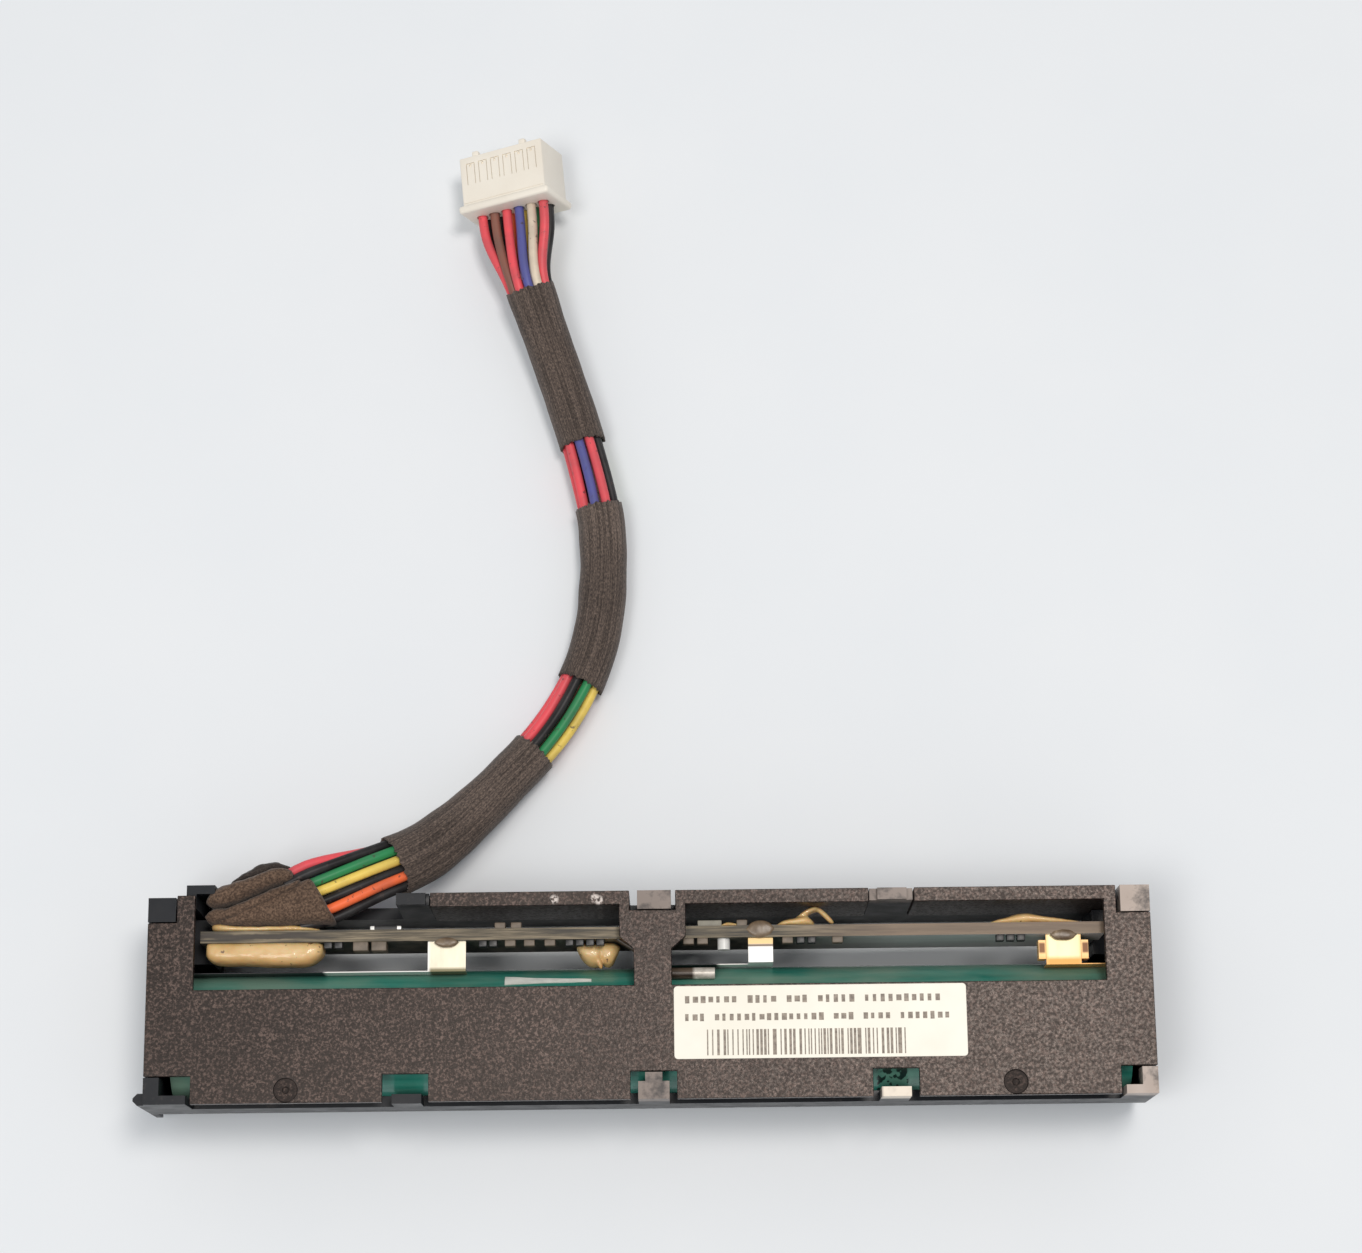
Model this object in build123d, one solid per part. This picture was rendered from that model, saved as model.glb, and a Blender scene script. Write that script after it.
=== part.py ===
from build123d import *
import math
import os

os.makedirs("parts", exist_ok=True)

# Battery module of a storage controller, lying on its back. Sizes are in millimetres.
# +X runs along the case, +Y points to the side where the lead leaves, +Z points up out of the front.
# The origin is on the back of the case, in the middle of its length and width.
# A cutter runs past the faces that it cuts, and a post starts below the face that it stands on, by 'past'.

# Cells
cell_length = 65.0
can_diameter = 18.0
button_diameter = 5.6
button_height = 0.5
can_edge = 0.7
film = 0.1
film_lip = 2.3
ring_bore = 6.6
ring_thickness = 0.2

# Case walls
plate = 1.1
cell_play = 0.05
side_skin = 0.65
end_wall = 1.5
end_room = 1.4
upper_room = 9.25
back_edge_radius = 8.0
fit_gap = 0.15
past = 1.0

# Case windows and the middle column between them
window_margin = 6.3
window_height = 11.0
rail_width = 1.9
column_x = 0.4
column_width = 5.1
column_head_width = 9.0
flare_start = 4.9
flare_height = 1.7
back_window_height = 6.4
back_wall = 1.6

# Where the two shells part, measured down from the front face or up from the back
rail_depth = 12.5
front_end_depth = 8.5
low_rim_drop = 6.5

# Notches and the posts and latch tongues that fill them
notch_depth = 3.75
upper_left_notch = 3.9
upper_right_notch = 4.6
lower_left_notch = 6.3
lower_right_notch = 4.9
corner_leg = 2.1
corner_foot = 1.2
latch_x = 32.9
latch_notch = 6.2
latch_width = 4.0
latch_thickness = 1.3
upper_latch_shifts = (0.5, 0.1)
latch_back_drop = 0.8
broken_latch_drop = 2.4
middle_notch = 6.25
middle_notch_depth = 2.7
middle_post = 4.6
middle_post_shift = 0.25
tee_body = 4.2
tee_body_depth = 2.4
tee_stem = 2.3
upper_post_gap = 0.6

# Cable outlet in the upper side
outlet_length = 31.9
guard_length = 3.7
guard_wall = 1.2
guard_reach = 1.6
guard_foot = 2.0

# Marks, ribs and the end rib
mark_x = 48.9
mark_inset = 1.75
mark_diameter = 3.2
mark_depth = 0.35
dimple_diameter = 0.9
dimple_depth = 0.25
rail_rib = 0.8
rail_rib_reach = 0.7
rail_rib_places = (-22.3, 36.4)
end_rib_reach = 1.5
end_rib_width = 1.6
end_rib_chamfer = 0.6
end_rib_rise = 17.5

# Circuit board and its guides
board_thickness = 1.6
board_width = 11.5
board_lift = 3.1
board_setback = 1.3
board_left_margin = 6.8
board_right_margin = 6.0
guide_gap = 0.1
guide_height = 12.0
guide_wall = 2.0
guide_length = 2.8

# Strips and tabs
strip_thickness = 0.15
strip_width = 3.0
middle_strip_drop = 2.0
strip_setback = 0.6
tab_1_reach = 28.05
tab_1_width = 5.2
tab_2_reach = 14.7
tab_2_width = 3.4
tab_3_margin = 5.3
tab_3_width = 4.8
weld_width = 7.0
ear_width = 1.0
ear_drop = 1.8
ear_height = 2.6
solder_reach = 0.6
solder_overlap = 0.35
solder_chamfer = 0.36
solder_margin = 0.45

# Small parts on the board
resistor_size = (1.0, 0.5, 0.6)
capacitor_size = (1.4, 0.8, 0.9)
transistor_size = (2.0, 1.2, 2.2)
controller_size = (4.2, 0.5, 4.0)
shunt_size = (3.3, 0.9, 2.2)
round_diameter = 1.7
round_height = 1.5
part_setback = 0.8

# Where the small parts sit: from the left window's outer end, from the column, from the right window's end
resistor_pitch = 1.42
left_resistors = 17.9
middle_resistors = (-23.1, -21.7, -11.3, -9.9, -8.5, -7.1, 20.2, 21.7)
right_resistors = 13.9
lower_capacitors = (-19.4, -16.8, -14.0, 4.9, 6.8, 18.4, 25.2)
upper_capacitors = (-20.8, -18.6, 12.2)
transistor_places = (22.3, 24.8)
controller_place = 25.7
shunt_place = 7.8
round_place = 9.7

# Thermistor
bead_diameter = 1.6
bead_length = 5.9
lead_wire_diameter = 0.5
lead_wire_reach = 8.0
lead_wire_spread = 0.6

# Glue, paper and label
glue_tail_length = 15.4
glue_tail_height = 2.9
glue_depth = 4.6
glue_setback = 0.3
glue_margin = 1.0
glue_rounding = 1.2
glue_round_share = 0.8
glue_root_height = 0.6
thermistor_glue = (-10.6, 4.5, 2.6)
thermistor_glue_depth = 7.2
left_bead = (17.0, 8.0, 1.9)
right_bead = (-15.2, 12.5, 1.1)
paper_place = -20.2
paper_length = 11.8
paper_thickness = 0.12
paper_from = 30.0
paper_to = 41.0
label_length = 39.4
label_width = 9.8
label_thickness = 0.1
label_x = 22.9
label_drop = 0.25
label_corner = 0.5

# Lead: one bundle of twelve wires
wire_diameter = 1.4
bundle_diameter = 6.0
bundle_sides = 12
sleeve_wall = 0.25
sleeve_gap = 0.15
lead_margin = 15.2
lead_start_drop = 4.3
lead_bend_drop = 6.0
arc_share = 0.45

# Cloth wrap at the board, seen from the front: from the window's outer end, and out from the board's glue
wrap_outline = [(1.3, 0.0), (1.0, 2.7), (8.3, 8.8), (12.8, 8.5), (19.9, 0.0)]
wrap_round = 1.2
wrap_bottom_drop = 7.8
wrap_thickness = 6.7
wrap_chamfer = 0.84

# Plug
plug_pitch = 2.0
plug_columns = 6
plug_body_width = 13.4
plug_body_height = 7.6
plug_length = 8.8
plug_flange = 0.6
plug_flange_length = 1.0
plug_roll = 23.0
cavity_play = 0.1
terminal_play = 0.1
terminal_length = 6.0
latch_window = (1.4, 3.2, 0.5)
latch_window_setback = 1.2
latch_tongue = (0.6, 2.5)
key_width = 1.0
key_height = 0.9
key_places = (-4.3, 3.4)
key_drop = 0.4
key_depth = 1.0

# Values that follow from the ones above
wrap_diameter = can_diameter + 2 * film
bore_radius = wrap_diameter / 2 + cell_play
case_depth = 2 * (plate + bore_radius)
case_length = 2 * cell_length + strip_thickness + 2 * (end_room + end_wall)
half_length = case_length / 2
case_width = side_skin + 2 * bore_radius + upper_room
half_width = case_width / 2
cell_y = -half_width + side_skin + bore_radius
cell_z = case_depth / 2
plate_under = case_depth - plate
window_half = half_length - window_margin
window_top = half_width - rail_width
window_low = window_top - window_height
rail_low = case_depth - rail_depth
low_rim = case_depth - low_rim_drop
front_end_low = case_depth - front_end_depth
wall_face = half_width - back_wall
board_low_y = cell_y + wrap_diameter / 2 + board_lift
board_top_y = board_low_y + board_thickness
board_front = plate_under - board_setback
board_back = board_front - board_width
board_left = -half_length + board_left_margin
board_right = half_length - board_right_margin
strip_front = board_front - strip_setback
strip_back = strip_front - strip_width
tab_1_x = column_x - tab_1_reach
tab_2_x = column_x + tab_2_reach
tab_3_x = window_half - tab_3_margin
outlet_end = -window_half + outlet_length
lead_x = -window_half + lead_margin
lead_rest = bundle_diameter / 2 + sleeve_gap + sleeve_wall
flange_half_width = plug_body_width / 2 + plug_flange
flange_half_height = plug_body_height / 2 + plug_flange
plug_tilt = math.radians(plug_roll)
cavity = wire_diameter + cavity_play
plug_rest = flange_half_width * math.sin(plug_tilt) + flange_half_height * math.cos(plug_tilt)

# Route of the lead, from inside the wrap to the middle of the plug's cable end:
# along the case from where the lead leaves, out from the upper side, and up from the table
lead_bends = [
    (0.0, 0.4, case_depth - lead_start_drop),
    (6.5, 3.9, case_depth - lead_bend_drop),
    (15.5, 8.4, 10.0),
    (26.5, 17.9, 5.2),
    (34.0, 27.4, 3.6),
    (39.5, 38.9, lead_rest),
    (40.5, 54.4, lead_rest),
    (38.5, 64.4, lead_rest),
    (35.9, 73.9, lead_rest),
    (30.9, 88.5, 4.8),
    (28.2, 96.5, plug_rest),
    (27.5, 104.4, plug_rest),
]
lead_route = [(lead_x + along, half_width + out, up) for along, out, up in lead_bends]


def block(x, y, z):
    """A box from three pairs of limits."""
    size = Box(x[1] - x[0], y[1] - y[0], z[1] - z[0])
    return Pos((x[0] + x[1]) / 2, (y[0] + y[1]) / 2, (z[0] + z[1]) / 2) * size


def along_x(radius, x0, x1, y, z):
    """A round bar along the case."""
    bar = Cylinder(radius, x1 - x0, align=(Align.CENTER, Align.CENTER, Align.MIN))
    return Pos(x0, y, z) * Rot(0, 90, 0) * bar


def cell_bore():
    """The room that the two wrapped cells need, from end wall to end wall."""
    inside = half_length - end_wall
    return along_x(bore_radius, -inside, inside, cell_y, cell_z)


def window_outlines():
    """The two window openings as seen from the front: straight sides with a flare on the column."""
    flare_y = window_low + flare_start
    low_half = column_width / 2
    head_half = column_head_width / 2
    outlines = []
    for side in (-1, 1):
        outlines.append(
            Polyline(
                (side * window_half, window_low),
                (column_x + side * low_half, window_low),
                (column_x + side * low_half, flare_y),
                (column_x + side * head_half, flare_y + flare_height),
                (column_x + side * head_half, window_top),
                (side * window_half, window_top),
                close=True,
            )
        )
    return outlines


def front_windows():
    """Cutters for the two windows. The left one runs out through the rail at the cable outlet."""
    cutters = [extrude(make_face(line), case_depth) for line in window_outlines()]
    cutters.append(block((-window_half, outlet_end), (window_low, half_width + past), (0, case_depth)))
    return cutters


def front_notches():
    """Cutters for the notches in the edges of the front shell."""
    above = (half_width - notch_depth, half_width + past)
    below = (-half_width - past, -half_width + notch_depth)
    deep = (0, case_depth + past)
    latch_half = latch_notch / 2
    middle_half = middle_notch / 2
    upper_middle = (half_width - middle_notch_depth, half_width + past)
    cutters = [
        block((-half_length - past, -half_length + upper_left_notch), above, deep),
        block((half_length - upper_right_notch, half_length + past), above, deep),
        block((-half_length - past, -half_length + lower_left_notch), below, deep),
        block((half_length - lower_right_notch, half_length + past), below, deep),
        block((column_x - middle_half, column_x + middle_half), upper_middle, deep),
        block((column_x - middle_half, column_x + middle_half), below, deep),
        block((latch_x - latch_half, latch_x + latch_half), (window_top - past, half_width + past), deep),
    ]
    for x in (-latch_x, latch_x):
        cutters.append(block((x - latch_half, x + latch_half), below, deep))
    return cutters


def round_marks():
    """Cutters for the two shallow round recesses, each with a dimple in its middle."""
    y = -half_width + mark_inset
    cutters = []
    for x in (-mark_x, mark_x):
        cutters.append(Pos(x, y, case_depth - mark_depth / 2) * Cylinder(mark_diameter / 2, mark_depth))
        deep = mark_depth + dimple_depth
        cutters.append(Pos(x, y, case_depth - deep / 2) * Cylinder(dimple_diameter / 2, deep))
    return cutters


def front_shell():
    """Front plate with the upper rail, the end walls and the rail's ribs, in one moulding."""
    shell = block((-half_length, half_length), (-half_width, half_width), (plate_under, case_depth))
    rail_end = half_length - end_wall
    shell += block((outlet_end, rail_end), (window_top, half_width), (rail_low, case_depth))
    for side in (-1, 1):
        ends = sorted((side * half_length, side * (half_length - end_wall)))
        reach = half_width - notch_depth
        shell += block(ends, (-reach, reach), (front_end_low, case_depth))
    for x in rail_rib_places:
        rib = (x - rail_rib / 2, x + rail_rib / 2)
        shell += block(rib, (window_top - rail_rib_reach, window_top), (rail_low, plate_under))
    for cutter in front_windows() + front_notches() + round_marks():
        shell -= cutter
    return shell - cell_bore()


def tray():
    """Back plate, the curved cradle wall along the cells and the low wall on the upper side."""
    bend = back_edge_radius
    centre = (-half_width + bend, bend)
    with BuildSketch(Plane.YZ) as section:
        with BuildLine():
            Line((-half_width, low_rim), (-half_width, bend))
            RadiusArc((-half_width, bend), (centre[0], 0), -bend)
            Line((centre[0], 0), (half_width, 0))
            Line((half_width, 0), (half_width, rail_low))
            Line((half_width, rail_low), (cell_y, rail_low))
            Line((cell_y, rail_low), (cell_y, low_rim))
            Line((cell_y, low_rim), (-half_width, low_rim))
        make_face()
    body = extrude(section.sketch, half_length, both=True)
    inside = half_length - end_wall
    body -= block((-inside, inside), (cell_y, wall_face), (plate, case_depth))
    front_end = (-half_width + notch_depth - fit_gap, half_width)
    for side in (-1, 1):
        ends = sorted((side * inside, side * half_length))
        body -= block(ends, front_end, (front_end_low, case_depth))
    return body - cell_bore()


def end_walls():
    """The two end walls of the back shell, up to where the front shell's end walls meet them."""
    walls = []
    bend = back_edge_radius
    for side in (-1, 1):
        ends = sorted((side * half_length, side * (half_length - end_wall)))
        wall = block(ends, (-half_width, half_width), (0, front_end_low))
        corner = block(ends, (-half_width, -half_width + bend), (0, bend))
        corner -= along_x(bend, ends[0], ends[1], -half_width + bend, bend)
        walls.append(wall - corner)
    return walls


def corner_posts():
    """Posts of the back shell that come up flush with the front face in its four corner notches."""
    top = case_depth
    notch_y = half_width - notch_depth + fit_gap
    left, right = -half_length, half_length
    left_post = (left, left + upper_left_notch - fit_gap)
    right_post = (right - upper_right_notch + upper_post_gap, right)
    posts = [
        block(left_post, (notch_y, half_width - 2 * fit_gap), (rail_low, top)),
        block(right_post, (notch_y, half_width), (rail_low, top)),
    ]
    leg_y = (-half_width, -half_width + notch_depth - fit_gap)
    foot_y = (-half_width, -half_width + corner_foot)
    for ends, width, side in ((left, lower_left_notch, 1), (right, lower_right_notch, -1)):
        leg = sorted((ends, ends + side * corner_leg))
        foot = sorted((ends, ends + side * (width - upper_post_gap)))
        posts.append(block(leg, leg_y, (front_end_low, top)))
        posts.append(block(foot, foot_y, (low_rim - side_skin, top)))
    return posts


def latch_tongues():
    """Upright latch tongues: two on the upper wall, two on the lower rim, the left one there broken off."""
    half = latch_width / 2
    upper = (wall_face, half_width)
    lower = (-half_width, -half_width + latch_thickness)
    left_x = -latch_x + upper_latch_shifts[0]
    right_x = latch_x + upper_latch_shifts[1]
    left_back = (left_x, -latch_x + latch_notch / 2 - fit_gap)
    right_back = (latch_x - latch_notch / 2 + fit_gap, latch_x + latch_notch / 2 - fit_gap)
    deep = rail_low - past
    back_top = case_depth - latch_back_drop
    return [
        block((left_x - half, left_x + half), upper, (deep, case_depth)),
        block((right_x - half, right_x + half), upper, (deep, case_depth)),
        block(left_back, upper, (deep, back_top)),
        block(right_back, upper, (deep, back_top)),
        block((latch_x - half, latch_x + half), lower, (low_rim - past, case_depth)),
        block((-latch_x - half, -latch_x + half), lower, (low_rim - past, case_depth - broken_latch_drop)),
    ]


def middle_posts():
    """The post in the upper middle notch and the T-shaped tongue in the lower one."""
    middle = column_x + middle_post_shift
    post = (middle - middle_post / 2, middle + middle_post / 2)
    post_y = (half_width - middle_notch_depth + fit_gap, half_width)
    body = (column_x - tee_body / 2, column_x + tee_body / 2)
    stem = (column_x - tee_stem / 2, column_x + tee_stem / 2)
    body_y = (-half_width, -half_width + tee_body_depth)
    stem_y = (-half_width, -half_width + notch_depth - fit_gap)
    return [
        block(post, post_y, (rail_low - past, case_depth)),
        block(body, body_y, (low_rim - past, case_depth)),
        block(stem, stem_y, (low_rim - past, case_depth)),
    ]


def board_guides():
    """Three upright guides with a pocket each, which hold the board by its back edge and its ends."""
    left = board_left - guide_gap
    right = board_right + guide_gap
    grip = guide_length / 3
    starts = (left - guide_length + grip, column_x - guide_length / 2, right - grip)
    low_y = board_low_y - guide_wall
    guides = []
    for x in starts:
        post = block((x, x + guide_length), (low_y, window_top - fit_gap), (plate, guide_height))
        guides.append(post + block((x, x + guide_length), (low_y, wall_face), (plate, rail_low)))
    slot_y = (board_low_y - guide_gap, board_top_y + guide_gap)
    slot = block((left, right), slot_y, (board_back, case_depth))
    return [guide - slot for guide in guides]


def lead_guard():
    """The thin raised guard beside the cable outlet, which stands out past the upper side."""
    x = (-window_half - guard_wall - fit_gap, -window_half + guard_length - guard_wall)
    top = plate_under - fit_gap
    guard = block(x, (wall_face, half_width + guard_reach), (guard_foot, top))
    pocket_y = (wall_face - past, half_width + guard_reach - guard_wall)
    pocket = block((-window_half, x[1] + past), pocket_y, (rail_low, top + past))
    return guard - pocket


def end_rib():
    """The locating rib down the left end, at the lower edge."""
    x = (-half_length - end_rib_reach, -half_length)
    y = (-half_width, -half_width + end_rib_width)
    rib = block(x, y, (case_depth - end_rib_rise, plate_under))
    outer = rib.edges().filter_by(Axis.Z).group_by(Axis.X)[0]
    return chamfer(outer, end_rib_chamfer)


def back_shell():
    """The tray with its end walls, posts, tongues, guides, guard and end rib, in one moulding."""
    shell = tray()
    for piece in end_walls() + corner_posts() + latch_tongues() + middle_posts():
        shell += piece
    shell += lead_guard()
    shell += end_rib()
    window_y = (wall_face - back_window_height, wall_face)
    for side in (-1, 1):
        x = sorted((side * window_half, column_x + side * column_width / 2))
        shell -= block(x, window_y, (-past, plate + past))
    for guide in board_guides():
        shell += guide
    return shell - cell_bore()


def cell_can(x0):
    """One sealed cell, its button end at x0 and its flat end to the right, flush with the film there."""
    radius = can_diameter / 2
    end = x0 + cell_length
    can = along_x(radius, x0 + button_height, end - film, cell_y, cell_z)
    can = chamfer(can.edges().filter_by(GeomType.CIRCLE), can_edge)
    can += along_x(radius - film_lip - film, end - film - can_edge, end, cell_y, cell_z)
    return can + along_x(button_diameter / 2, x0, x0 + button_height + can_edge, cell_y, cell_z)


def cell_film(x0):
    """Shrink film on one cell, turned over both end edges of the can."""
    start = x0 + button_height - ring_thickness - film
    end = x0 + cell_length
    skin = along_x(wrap_diameter / 2, start, end, cell_y, cell_z)
    skin -= along_x(can_diameter / 2, start + film, end - film, cell_y, cell_z)
    return skin - along_x(can_diameter / 2 - film_lip, start - past, end + past, cell_y, cell_z)


def insulating_ring(x0):
    """Paper ring between the can's shoulder and the film at the button end."""
    end = x0 + button_height
    ring = along_x(can_diameter / 2, end - ring_thickness, end, cell_y, cell_z)
    return ring - along_x(ring_bore / 2, end - past, end + past, cell_y, cell_z)


def film_top(z):
    """The height in Y of the film at one place in Z."""
    return cell_y + math.sqrt((wrap_diameter / 2) ** 2 - (z - cell_z) ** 2)


def strip(end_x, along, tab_x, tab_width, drop):
    """A link: an end plate on a cell, a flat strip along it, and a tab turned up to the board."""
    front = strip_front - drop
    y = film_top(front - strip_width)
    across = (tab_x - tab_width / 2, tab_x + tab_width / 2)
    plate_y = (cell_y, y + strip_thickness)
    link = block((end_x, end_x + strip_thickness), plate_y, (cell_z - weld_width / 2, front))
    link += block(along, (y, y + strip_thickness), (front - strip_width, front))
    link += block(across, (y, y + strip_thickness), (front - strip_width, strip_front))
    return link + block(across, (y, board_low_y), (strip_front - strip_thickness, strip_front))


def strips():
    """The three links: left end, middle and right end."""
    half_link = strip_thickness / 2
    left_end = -half_link - cell_length - strip_thickness
    right_end = half_link + cell_length
    right_reach = right_end + strip_thickness
    left = strip(left_end, (left_end, tab_1_x), tab_1_x, tab_1_width, 0)
    middle = strip(-half_link, (-half_link, tab_2_x), tab_2_x, tab_2_width, middle_strip_drop)
    right = strip(right_end, (tab_3_x, right_reach), tab_3_x, tab_3_width, 0)
    low = (film_top(strip_back) + board_low_y - ear_height) / 2
    for side in (-1, 1):
        ear = sorted((tab_3_x + side * tab_3_width / 2, tab_3_x + side * (tab_3_width / 2 + ear_width)))
        front = strip_front - strip_thickness
        right += block(ear, (low, low + ear_height), (front - ear_drop, front + strip_thickness / 2))
    return {"strip_left": left, "strip_middle": middle, "strip_right": right}


def tab_solder():
    """Solder that runs from each tab over the front edge of the board."""
    joints = []
    y = (board_low_y - solder_overlap, board_top_y + solder_overlap)
    for x, width in ((tab_1_x, tab_1_width), (tab_2_x, tab_2_width), (tab_3_x, tab_3_width)):
        half = width / 2 - solder_margin
        bead = block((x - half, x + half), y, (board_front, board_front + solder_reach))
        front = bead.faces().sort_by(Axis.Z)[-1]
        joints.append(chamfer(front.edges(), solder_chamfer))
    return Compound(children=joints)


def on_board(x, size, upper):
    """A part on the board, near its front edge: size along X, away from the board, and along Z."""
    long, high, deep = size
    front = board_front - part_setback
    y = (board_top_y, board_top_y + high) if upper else (board_low_y - high, board_low_y)
    return block((x - long / 2, x + long / 2), y, (front - deep, front))


def small_parts():
    """Parts soldered to both faces of the board, alike ones in one node."""
    left, middle, right = -window_half, column_x, window_half
    places = [left + left_resistors + resistor_pitch * i for i in range(2)]
    places += [middle + x for x in middle_resistors]
    places += [right - right_resistors + resistor_pitch * i for i in range(3)]
    resistors = [on_board(x, resistor_size, False) for x in places]
    capacitors = [on_board(middle + x, capacitor_size, False) for x in lower_capacitors]
    capacitors += [on_board(middle + x, capacitor_size, True) for x in upper_capacitors]
    transistors = [on_board(left + x, transistor_size, False) for x in transistor_places]
    drum_y = board_low_y - round_height / 2
    drum_z = board_front - part_setback - round_diameter / 2
    drum = Rot(90, 0, 0) * Cylinder(round_diameter / 2, round_height)
    return {
        "chip_resistors": Compound(children=resistors),
        "chip_capacitors": Compound(children=capacitors),
        "power_transistors": Compound(children=transistors),
        "controller_chip": on_board(left + controller_place, controller_size, True),
        "current_shunt": on_board(middle + shunt_place, shunt_size, True),
        "round_capacitor": Pos(middle + round_place, drum_y, drum_z) * drum,
    }


def thermistor():
    """A sleeved bead lying on the right cell, and its two leads up to the board."""
    z = strip_front - bead_diameter / 2
    rise = z - cell_z
    y = cell_y + math.sqrt((wrap_diameter / 2 + bead_diameter / 2) ** 2 - rise**2)
    start = column_x + column_width / 2
    bead = along_x(bead_diameter / 2, start, start + bead_length, y, z)
    leads = []
    for side in (-1, 1):
        lead_z = z + side * lead_wire_diameter * lead_wire_spread
        line = Line((start, y, lead_z), (start - lead_wire_reach, board_low_y + lead_wire_diameter, lead_z))
        wire = sweep(Plane(line @ 0, z_dir=line % 0) * Circle(lead_wire_diameter / 2), path=line)
        wire -= bead
        leads.append(wire - block((-half_length, half_length), (board_low_y, half_width), (0, case_depth)))
    return {"thermistor": bead, "thermistor_leads": Compound(children=leads)}


def lump(x0, length, base, height, z):
    """A bead of glue on one face of the board, its free corners rounded; height may point down."""
    low, high = sorted((base, base + height))
    body = block((x0, x0 + length), (low, high), z)
    free = body.edges().filter_by(Axis.Z).group_by(Axis.Y)[0 if height < 0 else -1]
    return fillet(free, min(glue_rounding, glue_round_share * abs(height)))


def glue():
    """The beads of glue on the board."""
    front = board_front - glue_setback
    z = (front - glue_depth, front)
    deep = (front - thermistor_glue_depth, front - glue_depth / 2)
    left = board_left + glue_margin
    root_x, root_length, root_height = thermistor_glue
    left_x, left_length, left_height = left_bead
    right_x, right_length, right_height = right_bead
    roots = (board_top_y, board_top_y + glue_root_height)
    return {
        "glue_wire_tails": lump(left, glue_tail_length, board_low_y, -glue_tail_height, z),
        "glue_wire_roots": block((left, left + glue_tail_length), roots, z),
        "glue_thermistor_root": lump(column_x + root_x, root_length, board_low_y, -root_height, deep),
        "glue_upper_left": lump(column_x + left_x, left_length, board_top_y, left_height, z),
        "glue_upper_right": lump(window_half + right_x, right_length, board_top_y, right_height, z),
    }


def paper_strip():
    """Pale paper strip that lies on the left cell in front of the film."""
    radius = wrap_diameter / 2
    x0 = column_x + paper_place
    band = along_x(radius + paper_thickness, x0, x0 + paper_length, cell_y, cell_z)
    band -= along_x(radius, x0 - past, x0 + paper_length + past, cell_y, cell_z)
    reach = radius * 2
    low, high = math.radians(paper_from), math.radians(paper_to)
    wedge = Polyline(
        (0, 0),
        (reach * math.sin(low), reach * math.cos(low)),
        (reach * math.sin(high), reach * math.cos(high)),
        close=True,
    )
    keep = Plane(origin=(x0 - past, cell_y, cell_z), x_dir=(0, 1, 0), z_dir=(1, 0, 0)) * make_face(wedge)
    return band & extrude(keep, paper_length + 2 * past)


def label():
    """Label on the front plate, just below the right window."""
    y1 = window_low - label_drop
    x = (label_x - label_length / 2, label_x + label_length / 2)
    sheet = block(x, (y1 - label_width, y1), (case_depth, case_depth + label_thickness))
    return fillet(sheet.edges().filter_by(Axis.Z), label_corner)


def corner_radii(points):
    """For each corner of a route, the largest arc that leaves a tenth of its shorter run straight."""
    radii = []
    for before, here, after in zip(points, points[1:], points[2:]):
        a = Vector(*here) - Vector(*before)
        b = Vector(*after) - Vector(*here)
        turn = math.radians(a.get_angle(b))
        radii.append(arc_share * min(a.length, b.length) / math.tan(turn / 2))
    return radii


def halfway(a, b):
    return tuple((p + q) / 2 for p, q in zip(a, b))


def tube(points, radii, section):
    """A tube of one section along straight runs and tangent arcs."""
    line = FilletPolyline(*points, radius=radii)
    solid = sweep(Plane(line @ 0, z_dir=line % 0) * section, path=line)
    expected = section.area * line.length
    print("tube volume", round(solid.volume, 1), "section times length", round(expected, 1))
    print("tube length", round(line.length, 1), "radii", [round(r, 1) for r in radii])
    return solid


def wrap_at_board():
    """The cloth wrap over the wire roots: a flat fan with rounded edges."""
    foot_y = board_top_y + glue_root_height
    points = [(x - window_half, foot_y + y) for x, y in wrap_outline]
    fan = extrude(make_face(Polyline(*points, close=True)), wrap_thickness)
    fan = Pos(0, 0, case_depth - wrap_bottom_drop) * fan
    upright = fan.edges().filter_by(Axis.Z).sort_by(Axis.Y)[2:]
    fan = fillet(upright, wrap_round)
    return chamfer(fan.faces().sort_by(Axis.Z)[-1].edges(), wrap_chamfer)


def plug_place():
    """Where the plug lies: in line with the last run of the lead, rolled over onto its flange."""
    before, last = lead_route[-2:]
    yaw = math.degrees(math.atan2(before[0] - last[0], last[1] - before[1]))
    return Pos(*last) * Rot(0, 0, yaw) * Rot(0, -plug_roll, 0)


def plug_slots():
    """Middles of the twelve cavities across the plug's own width and height."""
    first = -(plug_columns - 1) / 2 * plug_pitch
    return [(first + i * plug_pitch, row * plug_pitch / 2) for row in (-1, 1) for i in range(plug_columns)]


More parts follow.
